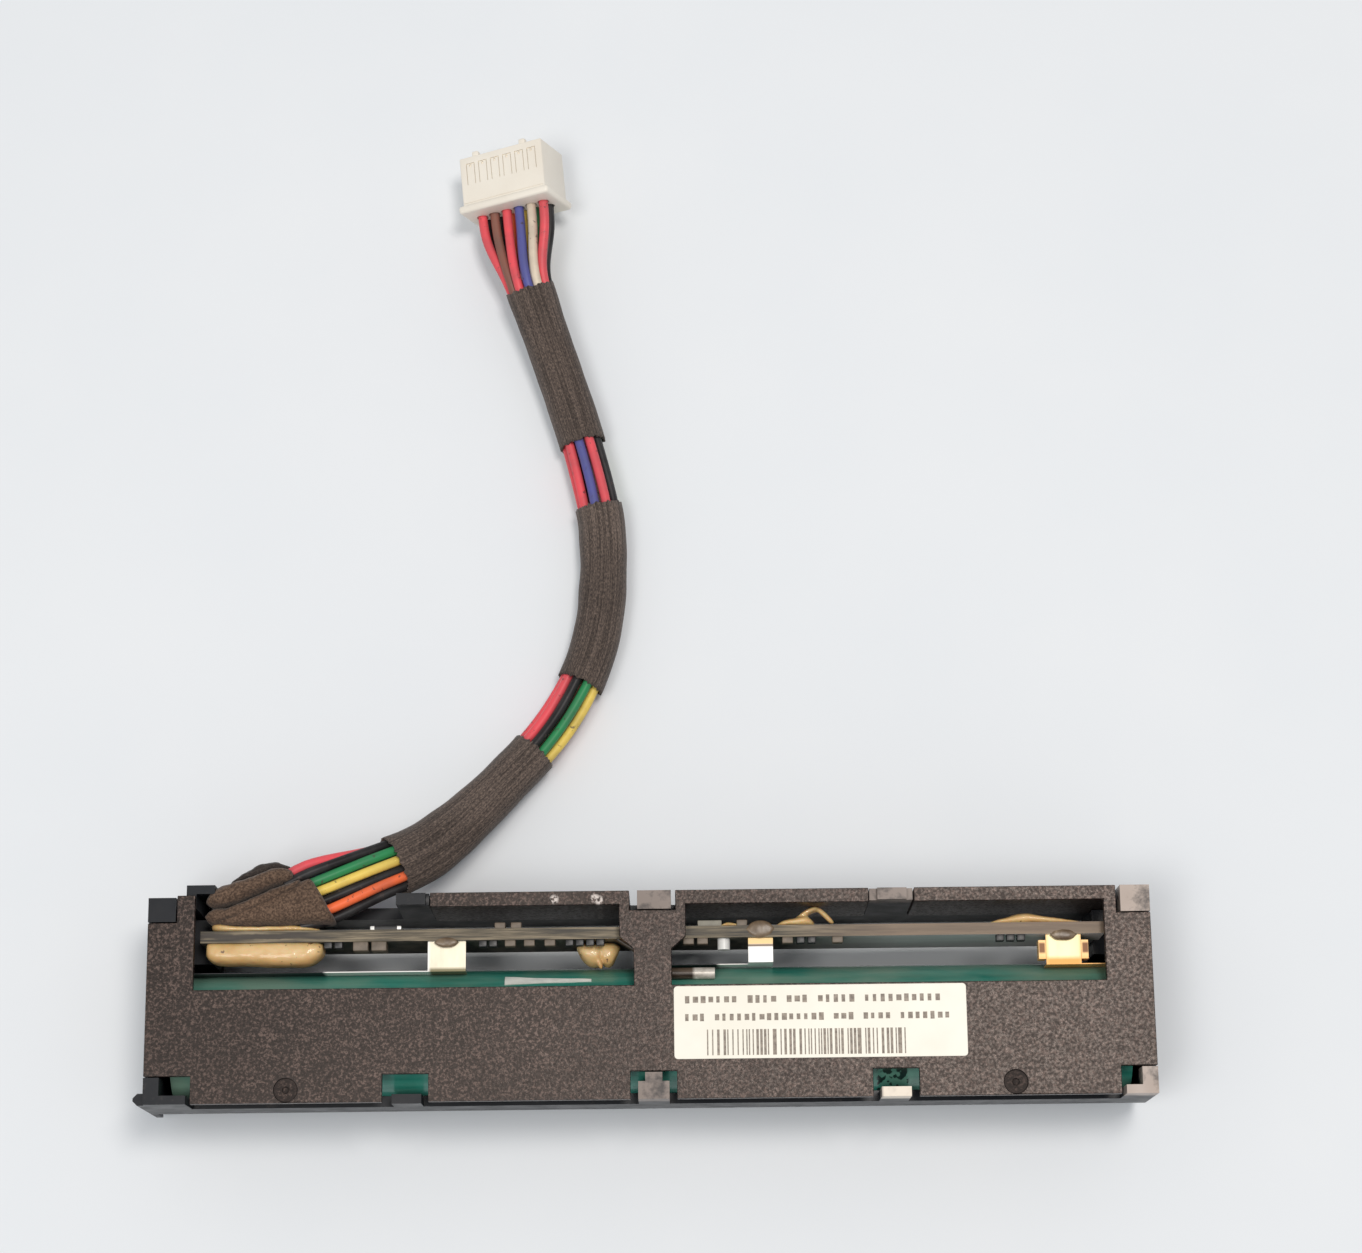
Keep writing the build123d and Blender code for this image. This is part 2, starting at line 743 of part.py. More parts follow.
def plug():
    """Two-row plug housing with a flange round its cable end, and the terminals in its cavities."""
    half_w, half_h = plug_body_width / 2, plug_body_height / 2
    housing = block((-half_w, half_w), (0, plug_length), (-half_h, half_h))
    flange_x = (-flange_half_width, flange_half_width)
    housing += block(flange_x, (0, plug_flange_length), (-flange_half_height, flange_half_height))
    window_w, window_l, window_d = latch_window
    tongue_w, tongue_l = latch_tongue
    first = -(plug_columns - 1) / 2 * plug_pitch
    y1 = plug_length - latch_window_setback
    y0 = y1 - window_l
    for i in range(plug_columns):
        x = first + i * plug_pitch
        for side in (-1, 1):
            z = sorted((side * half_h, side * (half_h - window_d)))
            opening = block((x - window_w / 2, x + window_w / 2), (y0, y1), z)
            housing -= opening - block((x - tongue_w / 2, x + tongue_w / 2), (y0, y0 + tongue_l), z)
    key_y = (plug_length, plug_length + key_height)
    key_z = (half_h - key_drop - key_depth, half_h - key_drop)
    for x in key_places:
        housing += block((x - key_width / 2, x + key_width / 2), key_y, key_z)
    terminals = []
    half = cavity / 2
    grip = half - terminal_play
    start = (plug_length - terminal_length) / 2
    for x, z in plug_slots():
        housing -= block((x - half, x + half), (-past, plug_length + past), (z - half, z + half))
        pin_z = (z - half, z + grip)
        terminals.append(block((x - grip, x + grip), (start, start + terminal_length), pin_z))
    return plug_place() * housing, plug_place() * Compound(children=terminals)


def lead():
    """The bundle of wires, its three woven sleeves, and the wrap that it leaves."""
    radii = corner_radii(lead_route)
    wrap = wrap_at_board()
    bundle = tube(lead_route, radii, RegularPolygon(bundle_diameter / 2, bundle_sides))
    inner = bundle_diameter / 2 + sleeve_gap
    section = RegularPolygon(inner + sleeve_wall, bundle_sides) - RegularPolygon(inner, bundle_sides)
    sleeves = []
    for first in range(1, len(lead_route) - 2, 3):
        start = halfway(lead_route[first], lead_route[first + 1])
        end = halfway(lead_route[first + 2], lead_route[first + 3])
        points = [start, lead_route[first + 1], lead_route[first + 2], end]
        sleeves.append(tube(points, radii[first : first + 2], section))
    return {"wrap_at_board": wrap, "wire_bundle": bundle - wrap, "wire_sleeves": Compound(children=sleeves)}


def build():
    """Every piece under its node's name."""
    half_link = strip_thickness / 2
    left_start = -half_link - cell_length
    board_y = (board_low_y, board_top_y)
    pieces = {
        "front_shell": front_shell(),
        "back_shell": back_shell(),
        "cell_left": cell_can(left_start),
        "cell_right": cell_can(half_link),
        "cell_film_left": cell_film(left_start),
        "cell_film_right": cell_film(half_link),
        "insulating_rings": Compound(children=[insulating_ring(left_start), insulating_ring(half_link)]),
        "circuit_board": block((board_left, board_right), board_y, (board_back, board_front)),
        "tab_solder": tab_solder(),
        "paper_strip": paper_strip(),
        "label": label(),
    }
    pieces.update(strips())
    pieces.update(small_parts())
    pieces.update(thermistor())
    pieces.update(glue())
    pieces.update(lead())
    pieces["plug_housing"], pieces["plug_terminals"] = plug()
    return pieces


for name, piece in build().items():
    export_step(piece, f"parts/{name}.step")
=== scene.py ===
import math
import random

import bpy
from mathutils import Matrix, Vector, noise


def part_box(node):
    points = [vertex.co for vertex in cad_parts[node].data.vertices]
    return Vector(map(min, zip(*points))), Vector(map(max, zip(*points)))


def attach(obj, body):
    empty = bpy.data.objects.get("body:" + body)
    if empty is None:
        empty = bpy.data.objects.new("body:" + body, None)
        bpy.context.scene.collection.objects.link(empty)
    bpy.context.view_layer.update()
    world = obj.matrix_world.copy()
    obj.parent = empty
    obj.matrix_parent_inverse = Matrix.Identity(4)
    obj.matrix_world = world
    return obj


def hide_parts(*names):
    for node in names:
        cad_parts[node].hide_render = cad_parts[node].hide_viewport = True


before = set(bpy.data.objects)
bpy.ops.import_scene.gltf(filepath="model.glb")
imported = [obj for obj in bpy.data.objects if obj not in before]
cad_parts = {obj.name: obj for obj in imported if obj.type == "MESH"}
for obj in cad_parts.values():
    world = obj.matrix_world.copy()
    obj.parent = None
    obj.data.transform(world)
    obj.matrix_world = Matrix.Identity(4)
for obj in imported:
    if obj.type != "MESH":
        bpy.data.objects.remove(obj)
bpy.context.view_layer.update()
mm = 0.001


print("frame loaded")


# small helpers for working by hand

def deselect():
    if bpy.context.object and bpy.context.object.mode != "OBJECT":
        bpy.ops.object.mode_set(mode="OBJECT")
    bpy.ops.object.select_all(action="DESELECT")


def activate(piece):
    deselect()
    piece.select_set(True)
    bpy.context.view_layer.objects.active = piece


def editAll(piece):
    activate(piece)
    bpy.ops.object.mode_set(mode="EDIT")
    bpy.ops.mesh.select_all(action="SELECT")


def objectMode():
    bpy.ops.object.mode_set(mode="OBJECT")


def pickFaces(piece, test):
    activate(piece)
    bpy.ops.object.mode_set(mode="EDIT")
    bpy.ops.mesh.select_mode(type="FACE")
    bpy.ops.mesh.select_all(action="DESELECT")
    objectMode()
    for face in piece.data.polygons:
        face.select = bool(test(face))
    bpy.ops.object.mode_set(mode="EDIT")


def useModifier(piece, kind, **options):
    activate(piece)
    tool = piece.modifiers.new(kind, kind)
    for option, value in options.items():
        setattr(tool, option, value)
    bpy.ops.object.modifier_apply(modifier=tool.name)


def bevelEdges(piece, width, segments, angle=30):
    useModifier(piece, "BEVEL", width=width * mm, segments=segments, limit_method="ANGLE",
                angle_limit=math.radians(angle), use_clamp_overlap=True)


def closeSkin(piece, nearest):
    # merges the seam and turns the faces outwards
    editAll(piece)
    bpy.ops.mesh.remove_doubles(threshold=nearest * mm)
    bpy.ops.mesh.normals_make_consistent(inside=False)
    objectMode()


def newPiece(name, data):
    piece = bpy.data.objects.new(name, data)
    bpy.context.collection.objects.link(piece)
    return piece


def giveName(piece, name):
    piece.name = piece.data.name = name
    return piece


def settle(piece, name):
    activate(piece)  # the place goes into the mesh
    bpy.ops.object.transform_apply(location=True, rotation=True, scale=True)
    return giveName(piece, name)


def smoothEdges(piece, degrees=38):
    activate(piece)
    bpy.ops.object.shade_smooth_by_angle(angle=math.radians(degrees))


def joinPieces(pieces, name):
    activate(pieces[0])
    for piece in pieces:
        piece.select_set(True)
    bpy.ops.object.join()
    return giveName(bpy.context.object, name)


def finishPiece(piece, slotName, materials, *nodes):
    slots = piece.data.materials
    for number, material in enumerate(materials):
        if number < len(slots):
            slots[number] = material
        else:
            slots.append(material)
    while len(slots) > len(materials):
        slots.pop()
    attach(piece, "root")
    if nodes:
        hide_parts(*nodes)
    return piece


def dressCopy(node, name, edge, segments=2):
    # a copy of the CAD shape with its edges broken and its flat faces shaded flat
    piece = newPiece(name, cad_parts[node].data.copy())
    editAll(piece)
    bpy.ops.mesh.remove_doubles(threshold=0.002 * mm)
    bpy.ops.mesh.dissolve_limited(angle_limit=math.radians(1))
    objectMode()
    if piece.data.has_custom_normals:
        bpy.ops.mesh.customdata_custom_splitnormals_clear()
    if edge:
        bevelEdges(piece, edge, segments)
    smoothEdges(piece)
    if edge:
        useModifier(piece, "WEIGHTED_NORMAL", weight=50, keep_sharp=True)
    return piece


def looseBoxes(node):
    # the box of every separate solid in a node
    editAll(dressCopy(node, "boxes", 0))
    bpy.ops.mesh.separate(type="LOOSE")
    objectMode()
    found = []
    for part in list(bpy.context.selected_objects):
        places = [v.co for v in part.data.vertices]
        low = Vector([min(p[i] for p in places) for i in range(3)])
        high = Vector([max(p[i] for p in places) for i in range(3)])
        found.append((low, high))
        bpy.data.objects.remove(part)
    return sorted(found, key=lambda pair: (pair[0].x, pair[0].y))


def wrapGrid(name, along, around, shapeAt, nearest=0.004):
    # a grid rolled into a closed run: shapeAt gives the place for a share along it and an angle round it
    bpy.ops.mesh.primitive_grid_add(x_subdivisions=around, y_subdivisions=along, size=1)
    piece = bpy.context.object
    for vertex in piece.data.vertices:
        u, v = vertex.co.x + 0.5, vertex.co.y + 0.5
        vertex.co = shapeAt(v, 2 * math.pi * u)
    closeSkin(piece, nearest)
    bpy.ops.object.shade_smooth()
    return giveName(piece, name)


bpy.ops.mesh.primitive_cube_add(size=1)
unitBox = bpy.context.object
unitBox.name = "unitBox"


def box(x, y, z, name="box"):
    # a copy of the modelled cube, set between three pairs of limits in millimetres
    piece = newPiece(name, unitBox.data.copy())
    for vertex in piece.data.vertices:
        vertex.co = Vector([a + (b - a) * (vertex.co[i] + 0.5) for i, (a, b) in enumerate((x, y, z))]) * mm
    return piece


def through(table, share):
    # a smooth value along a table of evenly spaced rows
    last = len(table) - 1
    t = min(max(share, 0.0), 1.0) * last
    k = min(int(t), last - 1)
    t -= k
    rows = [table[min(max(k + i, 0), last)] for i in (-1, 0, 1, 2)]
    found = []
    for a, b, c, d in zip(*rows):
        found.append(b + 0.5 * t * (c - a + t * (2 * a - 5 * b + 4 * c - d + t * (3 * (b - c) + d - a))))
    return found


def softForm(name, lowEdge, highEdge, depth, along=60, around=32, boxy=0.8, ends=8):
    # a closed soft form between two edges seen from above, with its lowest and highest point along the way
    def shapeAt(v, angle):
        low, high, (under, over) = through(lowEdge, v), through(highEdge, v), through(depth, v)
        swell = (max(0.0, 1 - abs(2 * v - 1) ** ends)) ** 0.5
        c, s = math.cos(angle), math.sin(angle)
        c, s = math.copysign(abs(c) ** boxy, c) * swell, math.copysign(abs(s) ** boxy, s) * swell
        x, y = ((high[i] + low[i]) / 2 + (high[i] - low[i]) / 2 * c for i in (0, 1))
        return Vector((x, y, (under + over) / 2 + (over - under) / 2 * s)) * mm
    return wrapGrid(name, along, around, shapeAt)


def roughen(piece, swell, scale, seed):
    # small swellings along the surface
    for vertex in piece.data.vertices:
        spot = vertex.co / mm * scale + Vector((seed, seed * 2, 0))
        vertex.co += vertex.normal * (noise.noise(spot) + 0.4 * noise.noise(spot * 2.7)) * swell * mm


def fuse(pieces, name, voxel, rounds):
    # several lumps run together into one skin
    piece = joinPieces(pieces, name)
    useModifier(piece, "REMESH", mode="VOXEL", voxel_size=voxel * mm)
    useModifier(piece, "SMOOTH", factor=0.5, iterations=rounds)
    activate(piece)
    bpy.ops.object.shade_smooth()
    return piece


# materials

def newFinish(name, colour, roughness, metallic=0.0, specular=0.5, coat=0.0, sheen=0.0):
    material = bpy.data.materials.new(name)
    material.use_nodes = True
    shader = material.node_tree.nodes["Principled BSDF"]
    values = {"Base Color": (*colour, 1), "Roughness": roughness, "Metallic": metallic,
              "Specular IOR Level": specular, "Coat Weight": coat, "Sheen Weight": sheen}
    for socket, value in values.items():
        shader.inputs[socket].default_value = value
    return material, material.node_tree, shader


def addNode(tree, kind, **values):
    node = tree.nodes.new(kind)
    for key, value in values.items():
        if key in node.inputs:
            node.inputs[key].default_value = value
        else:
            setattr(node, key, value)
    return node


def place(tree, scale=(1, 1, 1), source="Object"):
    coordinates = addNode(tree, "ShaderNodeTexCoord")
    mapping = addNode(tree, "ShaderNodeMapping", Scale=scale)
    tree.links.new(coordinates.outputs[source], mapping.inputs["Vector"])
    return mapping.outputs["Vector"]


def grain(tree, vector, scale, detail=4.0, rough=0.55):
    texture = addNode(tree, "ShaderNodeTexNoise", Scale=scale, Detail=detail, Roughness=rough)
    tree.links.new(vector, texture.inputs["Vector"])
    return texture.outputs["Fac"]


def ramp(tree, value, stops):
    table = addNode(tree, "ShaderNodeValToRGB")
    table.color_ramp.elements[0].position, table.color_ramp.elements[0].color = stops[0][0], (*stops[0][1], 1)
    table.color_ramp.elements[1].position, table.color_ramp.elements[1].color = stops[-1][0], (*stops[-1][1], 1)
    for position, colour in stops[1:-1]:
        table.color_ramp.elements.new(position).color = (*colour, 1)
    tree.links.new(value, table.inputs["Fac"])
    return table.outputs["Color"]


def fade(tree, value, low, high, start=0.0, end=1.0):
    limits = {"From Min": low, "From Max": high, "To Min": start, "To Max": end}
    spread = addNode(tree, "ShaderNodeMapRange", **limits)
    tree.links.new(value, spread.inputs["Value"])
    return spread.outputs["Result"]


def blendColour(tree, amount, first, second, mode="MIX"):
    mixer = addNode(tree, "ShaderNodeMix", data_type="RGBA", blend_type=mode)
    if isinstance(amount, float):
        mixer.inputs["Factor"].default_value = amount
    else:
        tree.links.new(amount, mixer.inputs["Factor"])
    for socket, colour in ((mixer.inputs[6], first), (mixer.inputs[7], second)):
        if isinstance(colour, tuple):
            socket.default_value = (*colour, 1)
        else:
            tree.links.new(colour, socket)
    return mixer.outputs[2]


def addBump(tree, shader, height, strength, distance):
    bump = addNode(tree, "ShaderNodeBump", Strength=strength, Distance=distance)
    tree.links.new(height, bump.inputs["Height"])
    tree.links.new(bump.outputs["Normal"], shader.inputs["Normal"])


def speckled(name, stops, scale, roughness, bumpScale, bumpStrength, **more):
    # one finish whose colour wanders between the stops, with a fine surface grain
    material, tree, shader = newFinish(name, stops[0][1], roughness, **more)
    vector = place(tree)
    tree.links.new(ramp(tree, grain(tree, vector, scale), stops), shader.inputs["Base Color"])
    addBump(tree, shader, grain(tree, vector, bumpScale, 3), bumpStrength, 0.05 * mm)
    return material


finish = {}
roundMark = (48.9, -12.35)  # the two round marks on the front, left and right
railScuffs = [(-12.9, 13.0), (-7.4, 13.1), (-6.8, 12.8)]
toneTable = {
    "can": ([(0.3, (0.5, 0.5, 0.5)), (0.7, (0.62, 0.61, 0.6))], 300, 0.3, 900, 0.1, {"metallic": 1.0}),
    "paper": ([(0.3, (0.62, 0.64, 0.58)), (0.7, (0.82, 0.82, 0.76))], 500, 0.7, 2500, 0.25, {}),
    "solder": ([(0.36, (0.11, 0.07, 0.04)), (0.6, (0.21, 0.15, 0.095)), (0.72, (0.4, 0.3, 0.2))],
               500, 0.34, 1100, 0.2, {}),
    "chipBrown": ([(0.3, (0.11, 0.085, 0.06)), (0.7, (0.2, 0.155, 0.115))], 900, 0.5, 1800, 0.15, {}),
    "chipDark": ([(0.3, (0.010, 0.010, 0.011)), (0.7, (0.022, 0.021, 0.021))], 900, 0.4, 1800, 0.1, {}),
    "shunt": ([(0.3, (0.2, 0.185, 0.15)), (0.7, (0.31, 0.29, 0.23))], 900, 0.5, 1800, 0.15, {}),
    "drum": ([(0.3, (0.7, 0.69, 0.66)), (0.7, (0.82, 0.81, 0.78))], 900, 0.35, 1800, 0.1, {}),
    "tin": ([(0.3, (0.8, 0.78, 0.73)), (0.7, (0.95, 0.93, 0.9))], 900, 0.34, 1500, 0.3, {"metallic": 0.25}),
    "lead": ([(0.3, (0.03, 0.02, 0.014)), (0.7, (0.1, 0.07, 0.05))], 700, 0.4, 1800, 0.2, {}),
    "label": ([(0.3, (0.83, 0.79, 0.68)), (0.7, (0.89, 0.855, 0.75))], 160, 0.4, 1600, 0.06, {}),
    "print": ([(0.3, (0.15, 0.12, 0.095)), (0.7, (0.36, 0.3, 0.24))], 1900, 0.5, 1600, 0.1, {}),
    "nylon": ([(0.3, (0.84, 0.775, 0.67)), (0.7, (0.89, 0.835, 0.735))], 140, 0.42, 900, 0.06, {}),
}
for toneName, (stops, scale, rough, bumpScale, strength, more) in toneTable.items():
    finish[toneName] = speckled(toneName + "Tone", stops, scale, rough, bumpScale, strength, **more)


def mask(tree, *factors):
    # the product of several shares
    found = factors[0]
    for factor in factors[1:]:
        product = addNode(tree, "ShaderNodeMath", operation="MULTIPLY")
        tree.links.new(found, product.inputs[0])
        tree.links.new(factor, product.inputs[1])
        found = product.outputs[0]
    return found


def placeParts(tree):
    split = addNode(tree, "ShaderNodeSeparateXYZ")
    tree.links.new(place(tree), split.inputs["Vector"])
    return split.outputs["X"], split.outputs["Y"], split.outputs["Z"]


def band(tree, value, low, high, soft):
    # 1 between two limits, soft at both ends
    return mask(tree, fade(tree, value, low, low + soft), fade(tree, value, high, high - soft))


def spotMask(tree, x, y, middle, first, last):
    # 1 at the last radius round a spot, falling to 0 at the first
    away = addNode(tree, "ShaderNodeCombineXYZ")
    for socket, value, centre in ((0, x, middle[0]), (1, y, middle[1])):
        tree.links.new(fade(tree, value, -0.1, 0.1, -0.1 - centre * mm, 0.1 - centre * mm), away.inputs[socket])
    reach = addNode(tree, "ShaderNodeVectorMath", operation="LENGTH")
    tree.links.new(away.outputs[0], reach.inputs[0])
    return fade(tree, reach.outputs["Value"], first * mm, last * mm)


def grainyCase():
    # spark-eroded brown-black moulding: fine light specks, dusty patches, painted shade in the recessed round marks,
    # scuffs on the rail
    material, tree, shader = newFinish("caseFrontGrain", (0.03, 0.024, 0.022), 0.36, specular=0.4)
    shader.inputs["Specular Tint"].default_value = (1, 0.86, 0.79, 1)
    vector = place(tree)
    specks = ramp(tree, grain(tree, vector, 2700, 3, 0.7), [(0.4, (0.003, 0.002, 0.002)), (0.5, (0.011, 0.007, 0.006)),
                                                           (0.64, (0.12, 0.083, 0.07))])
    patches = ramp(tree, grain(tree, vector, 60, 4), [(0.35, (0.8, 0.78, 0.78)), (0.7, (1.2, 1.2, 1.2))])
    base = blendColour(tree, 1.0, specks, patches, "MULTIPLY")
    x, y, _ = placeParts(tree)
    across = addNode(tree, "ShaderNodeMath", operation="ABSOLUTE")
    tree.links.new(x, across.inputs[0])
    # painted shade: dark rings in the recessed round marks stand in for the shade that falls in them
    for middle, first, last, depth in ((1.55, 1.0, 2.0, 0.85), (0.4, 0.0, 0.75, 0.7), (0.9, 0.1, 1.75, 0.3)):
        ring = mask(tree, spotMask(tree, across.outputs[0], y, roundMark, first, middle),
                    spotMask(tree, across.outputs[0], y, roundMark, last, middle))
        base = blendColour(tree, fade(tree, ring, 0, 1, 0, depth), base, (0.008, 0.006, 0.006))
    for scuff in railScuffs:
        rubbed = mask(tree, spotMask(tree, x, y, scuff, 0.75, 0.35),
                      fade(tree, grain(tree, vector, 1900, 4), 0.45, 0.55))
        base = blendColour(tree, rubbed, base, (0.62, 0.56, 0.52))
    tree.links.new(base, shader.inputs["Base Color"])
    # pits and peaks shine unevenly; the round marks are dull
    gloss = addNode(tree, "ShaderNodeMath", operation="MAXIMUM")
    tree.links.new(fade(tree, grain(tree, vector, 2500, 2, 0.6), 0.38, 0.62, 0.29, 0.46), gloss.inputs[0])
    dull = fade(tree, spotMask(tree, across.outputs[0], y, roundMark, 1.9, 1.5), 0, 1, 0, 0.6)
    tree.links.new(dull, gloss.inputs[1])
    tree.links.new(gloss.outputs[0], shader.inputs["Roughness"])
    addBump(tree, shader, grain(tree, vector, 2300, 3, 0.7), 0.62, 0.06 * mm)
    return material


def smoothCase():
    # the tray: smoother, nearly black, with a little dust; the tops of its tongues and corner posts are painted pale as
    # a highlight that grows towards the right, and the bar in the lower notch right of the middle carries a painted
    # bright highlight
    material, tree, shader = newFinish("caseBackSmooth", (0.014, 0.014, 0.016), 0.36, specular=0.25)
    vector = place(tree)
    base = ramp(tree, grain(tree, vector, 120), [(0.3, (0.006, 0.008, 0.012)), (0.7, (0.014, 0.015, 0.018))])
    dust = fade(tree, grain(tree, vector, 420, 6, 0.7), 0.58, 0.78)
    base = blendColour(tree, dust, base, (0.07, 0.058, 0.053))
    x, y, z = placeParts(tree)
    # painted highlight: the raised tops are painted pale, brighter towards the right, as glare
    paintedGlareMask = mask(tree, fade(tree, x, -0.012, -0.004), fade(tree, z, 0.0168, 0.0182),
                   fade(tree, grain(tree, vector, 380, 4, 0.65), 0.34, 0.52, 0.25, 1))
    paintedGlareTone = blendColour(tree, fade(tree, x, 0.03, 0.064), (0.24, 0.195, 0.17), (0.44, 0.36, 0.31))
    base = blendColour(tree, paintedGlareMask, base, paintedGlareTone)
    # painted highlight: the top of the bar in the lower notch right of the middle is painted near white where glare
    # falls
    bare = mask(tree, band(tree, x, 0.0308, 0.0356, 0.0004), fade(tree, y, -0.0118, -0.0122),
                fade(tree, z, 0.0168, 0.0182), fade(tree, grain(tree, vector, 900, 3), 0.2, 0.5, 0.75, 1))
    tree.links.new(blendColour(tree, bare, base, (0.84, 0.74, 0.62)), shader.inputs["Base Color"])
    tree.links.new(fade(tree, grain(tree, vector, 300), 0.3, 0.7, 0.32, 0.46), shader.inputs["Roughness"])
    addBump(tree, shader, grain(tree, vector, 1500, 3), 0.14, 0.05 * mm)
    return material


def tealSkin():
    # shrink film: faint lengthwise streaks and a milky sheen where it is stretched
    material, tree, shader = newFinish("tealFilm", (0.02, 0.14, 0.11), 0.3, coat=0.5)
    streaks = grain(tree, place(tree, (60, 700, 700)), 1, 4)
    base = ramp(tree, streaks, [(0.3, (0.016, 0.16, 0.12)), (0.5, (0.035, 0.23, 0.175)), (0.72, (0.08, 0.28, 0.22))])
    milky = fade(tree, grain(tree, place(tree, (70, 160, 160)), 1, 3), 0.4, 0.66, 0, 0.75)
    base = blendColour(tree, milky, base, (0.21, 0.3, 0.23))
    x, y, _ = placeParts(tree)
    printed = mask(tree, band(tree, x, 0.0304, 0.035, 0.0003), fade(tree, y, -0.0098, -0.0102),
                   fade(tree, grain(tree, place(tree, (1400, 900, 900)), 1, 1), 0.53, 0.57))
    tree.links.new(blendColour(tree, printed, base, (0.01, 0.03, 0.025)), shader.inputs["Base Color"])
    addBump(tree, shader, streaks, 0.2, 0.08 * mm)
    return material


def boardFibre():
    # sawn edge in olive brown with a dark wavy line; dark lacquer on the faces, which turn pale grey towards the right
    # as a painted reflection of the table on the shaded underside
    material, tree, shader = newFinish("boardFibre", (0.2, 0.16, 0.11), 0.5)
    x, y, z = placeParts(tree)
    lines = grain(tree, place(tree, (120, 2600, 100)), 1, 5, 0.65)
    edge = ramp(tree, lines, [(0.38, (0.03, 0.023, 0.014)), (0.5, (0.115, 0.09, 0.052)), (0.64, (0.26, 0.205, 0.13))])
    rightward = fade(tree, x, 0.018, 0.034)
    edge = blendColour(tree, fade(tree, rightward, 0, 1, 0, 0.8), edge, (0.22, 0.15, 0.1))
    warp = grain(tree, place(tree, (260, 0, 0)), 1, 4)
    height = addNode(tree, "ShaderNodeMath", operation="ADD")
    tree.links.new(fade(tree, warp, 0.2, 0.8, -0.00035, 0.00035), height.inputs[0])
    tree.links.new(y, height.inputs[1])
    groove = mask(tree, band(tree, height.outputs[0], 0.0083, 0.0092, 0.0002),
                  fade(tree, x, -0.042, -0.047, 0.15, 0.9))
    edge = blendColour(tree, groove, edge, (0.035, 0.025, 0.018))
    lacquer = ramp(tree, grain(tree, place(tree), 500, 5), [(0.35, (0.03, 0.034, 0.03)), (0.65, (0.13, 0.115, 0.09))])
    # painted reflection: pale grey on the faces to the right stands in for the table's light on the shaded underside
    paintedTableReflection = ramp(tree, grain(tree, place(tree, (60, 60, 400)), 1, 3),
                  [(0.3, (0.58, 0.57, 0.57)), (0.7, (0.74, 0.72, 0.71))])
    faces = blendColour(tree, rightward, lacquer, paintedTableReflection)
    sawn = fade(tree, z, 0.01806, 0.01809)
    tree.links.new(blendColour(tree, sawn, faces, edge), shader.inputs["Base Color"])
    addBump(tree, shader, lines, 0.5, 0.08 * mm)
    return material


def tabMetal(name, face, low, where, metallic, runFrom, tabFrom, ears=(), gold=False):
    # bright face, with painted shade at the bend of its lower edge; the long run is near black up to one place, then
    # bright
    material, tree, shader = newFinish(name, face, 0.48, metallic=metallic)
    x, y, _ = placeParts(tree)
    fine = grain(tree, place(tree, (900, 300, 300)), 1, 4)
    colour = ramp(tree, fine, [(0.3, tuple(v * 0.88 for v in face)), (0.6, face)])
    # painted shade: darker towards the bend of the lower edge
    colour = blendColour(tree, fade(tree, y, where[0], where[1]), colour, low)
    if gold:
        colour = blendColour(tree, fade(tree, y, 0.0069, 0.0071), colour, (0.85, 0.6, 0.28))
        colour = blendColour(tree, band(tree, y, 0.0066, 0.0071, 0.0002), colour, (0.16, 0.1, 0.06))
    # the long run: near black up to runFrom, bright beyond it
    run = fade(tree, x, tabFrom, tabFrom - 0.0004)
    runTone = blendColour(tree, fade(tree, x, runFrom, runFrom + 0.0006), (0.012, 0.012, 0.015), (0.93, 0.9, 0.86))
    colour = blendColour(tree, run, colour, runTone)
    if ears:
        past = mask(tree, fade(tree, x, ears[1] + 0.0008, ears[1] + 0.0010), fade(tree, y, 0.0052, 0.0046))
        colour = blendColour(tree, past, colour, (0.015, 0.012, 0.012))
        for start, stop in ((ears[0] + 0.0010, ears[0] + 0.0006), (ears[1] - 0.0010, ears[1] - 0.0006)):
            colour = blendColour(tree, fade(tree, x, start, stop, 0, 0.7), colour, (0.85, 0.45, 0.15))
    for middle in ears:
        slot = mask(tree, band(tree, x, middle - 0.0005, middle + 0.0005, 0.0002),
                    band(tree, y, 0.0052, 0.0069, 0.0003))
        colour = blendColour(tree, slot, colour, (0.2, 0.085, 0.03))
    tree.links.new(colour, shader.inputs["Base Color"])
    addBump(tree, shader, fine, 0.2, 0.05 * mm)
    return material


def thermistorSkin():
    # dark coating that ends in a bare grey tip
    material, tree, shader = newFinish("thermistorSkin", (0.4, 0.37, 0.32), 0.35, metallic=0.2)
    x, _, _ = placeParts(tree)
    bare = ramp(tree, grain(tree, place(tree, (500, 900, 900)), 1, 4),
                [(0.3, (0.35, 0.31, 0.26)), (0.65, (0.75, 0.7, 0.63))])
    covered = ramp(tree, grain(tree, place(tree, (200, 1200, 1200)), 1, 4),
                   [(0.35, (0.03, 0.02, 0.014)), (0.65, (0.12, 0.085, 0.06))])
    tree.links.new(blendColour(tree, fade(tree, x, 0.0057, 0.0062), covered, bare), shader.inputs["Base Color"])
    return material


def hotGlue():
    # cream glue with a soft inner light, a deeper orange underside and rare dark specks
    material, tree, shader = newFinish("glueCream", (0.74, 0.55, 0.33), 0.38, coat=0.25)
    shader.inputs["Subsurface Weight"].default_value = 0.3
    shader.inputs["Subsurface Scale"].default_value = 0.9 * mm
    vector = place(tree)
    _, y, _ = placeParts(tree)
    cream = ramp(tree, grain(tree, vector, 260, 3),
                 [(0.3, (0.62, 0.39, 0.15)), (0.55, (0.72, 0.49, 0.22)), (0.75, (0.77, 0.56, 0.29))])
    deep = fade(tree, y, 0.0066, 0.0046, 0, 0.75)
    cream = blendColour(tree, deep, cream, (0.66, 0.38, 0.15))
    specks = fade(tree, grain(tree, vector, 1100, 2), 0.68, 0.73)
    tree.links.new(blendColour(tree, specks, cream, (0.2, 0.11, 0.05)), shader.inputs["Base Color"])
    addBump(tree, shader, grain(tree, vector, 500, 3), 0.18, 0.08 * mm)
    return material


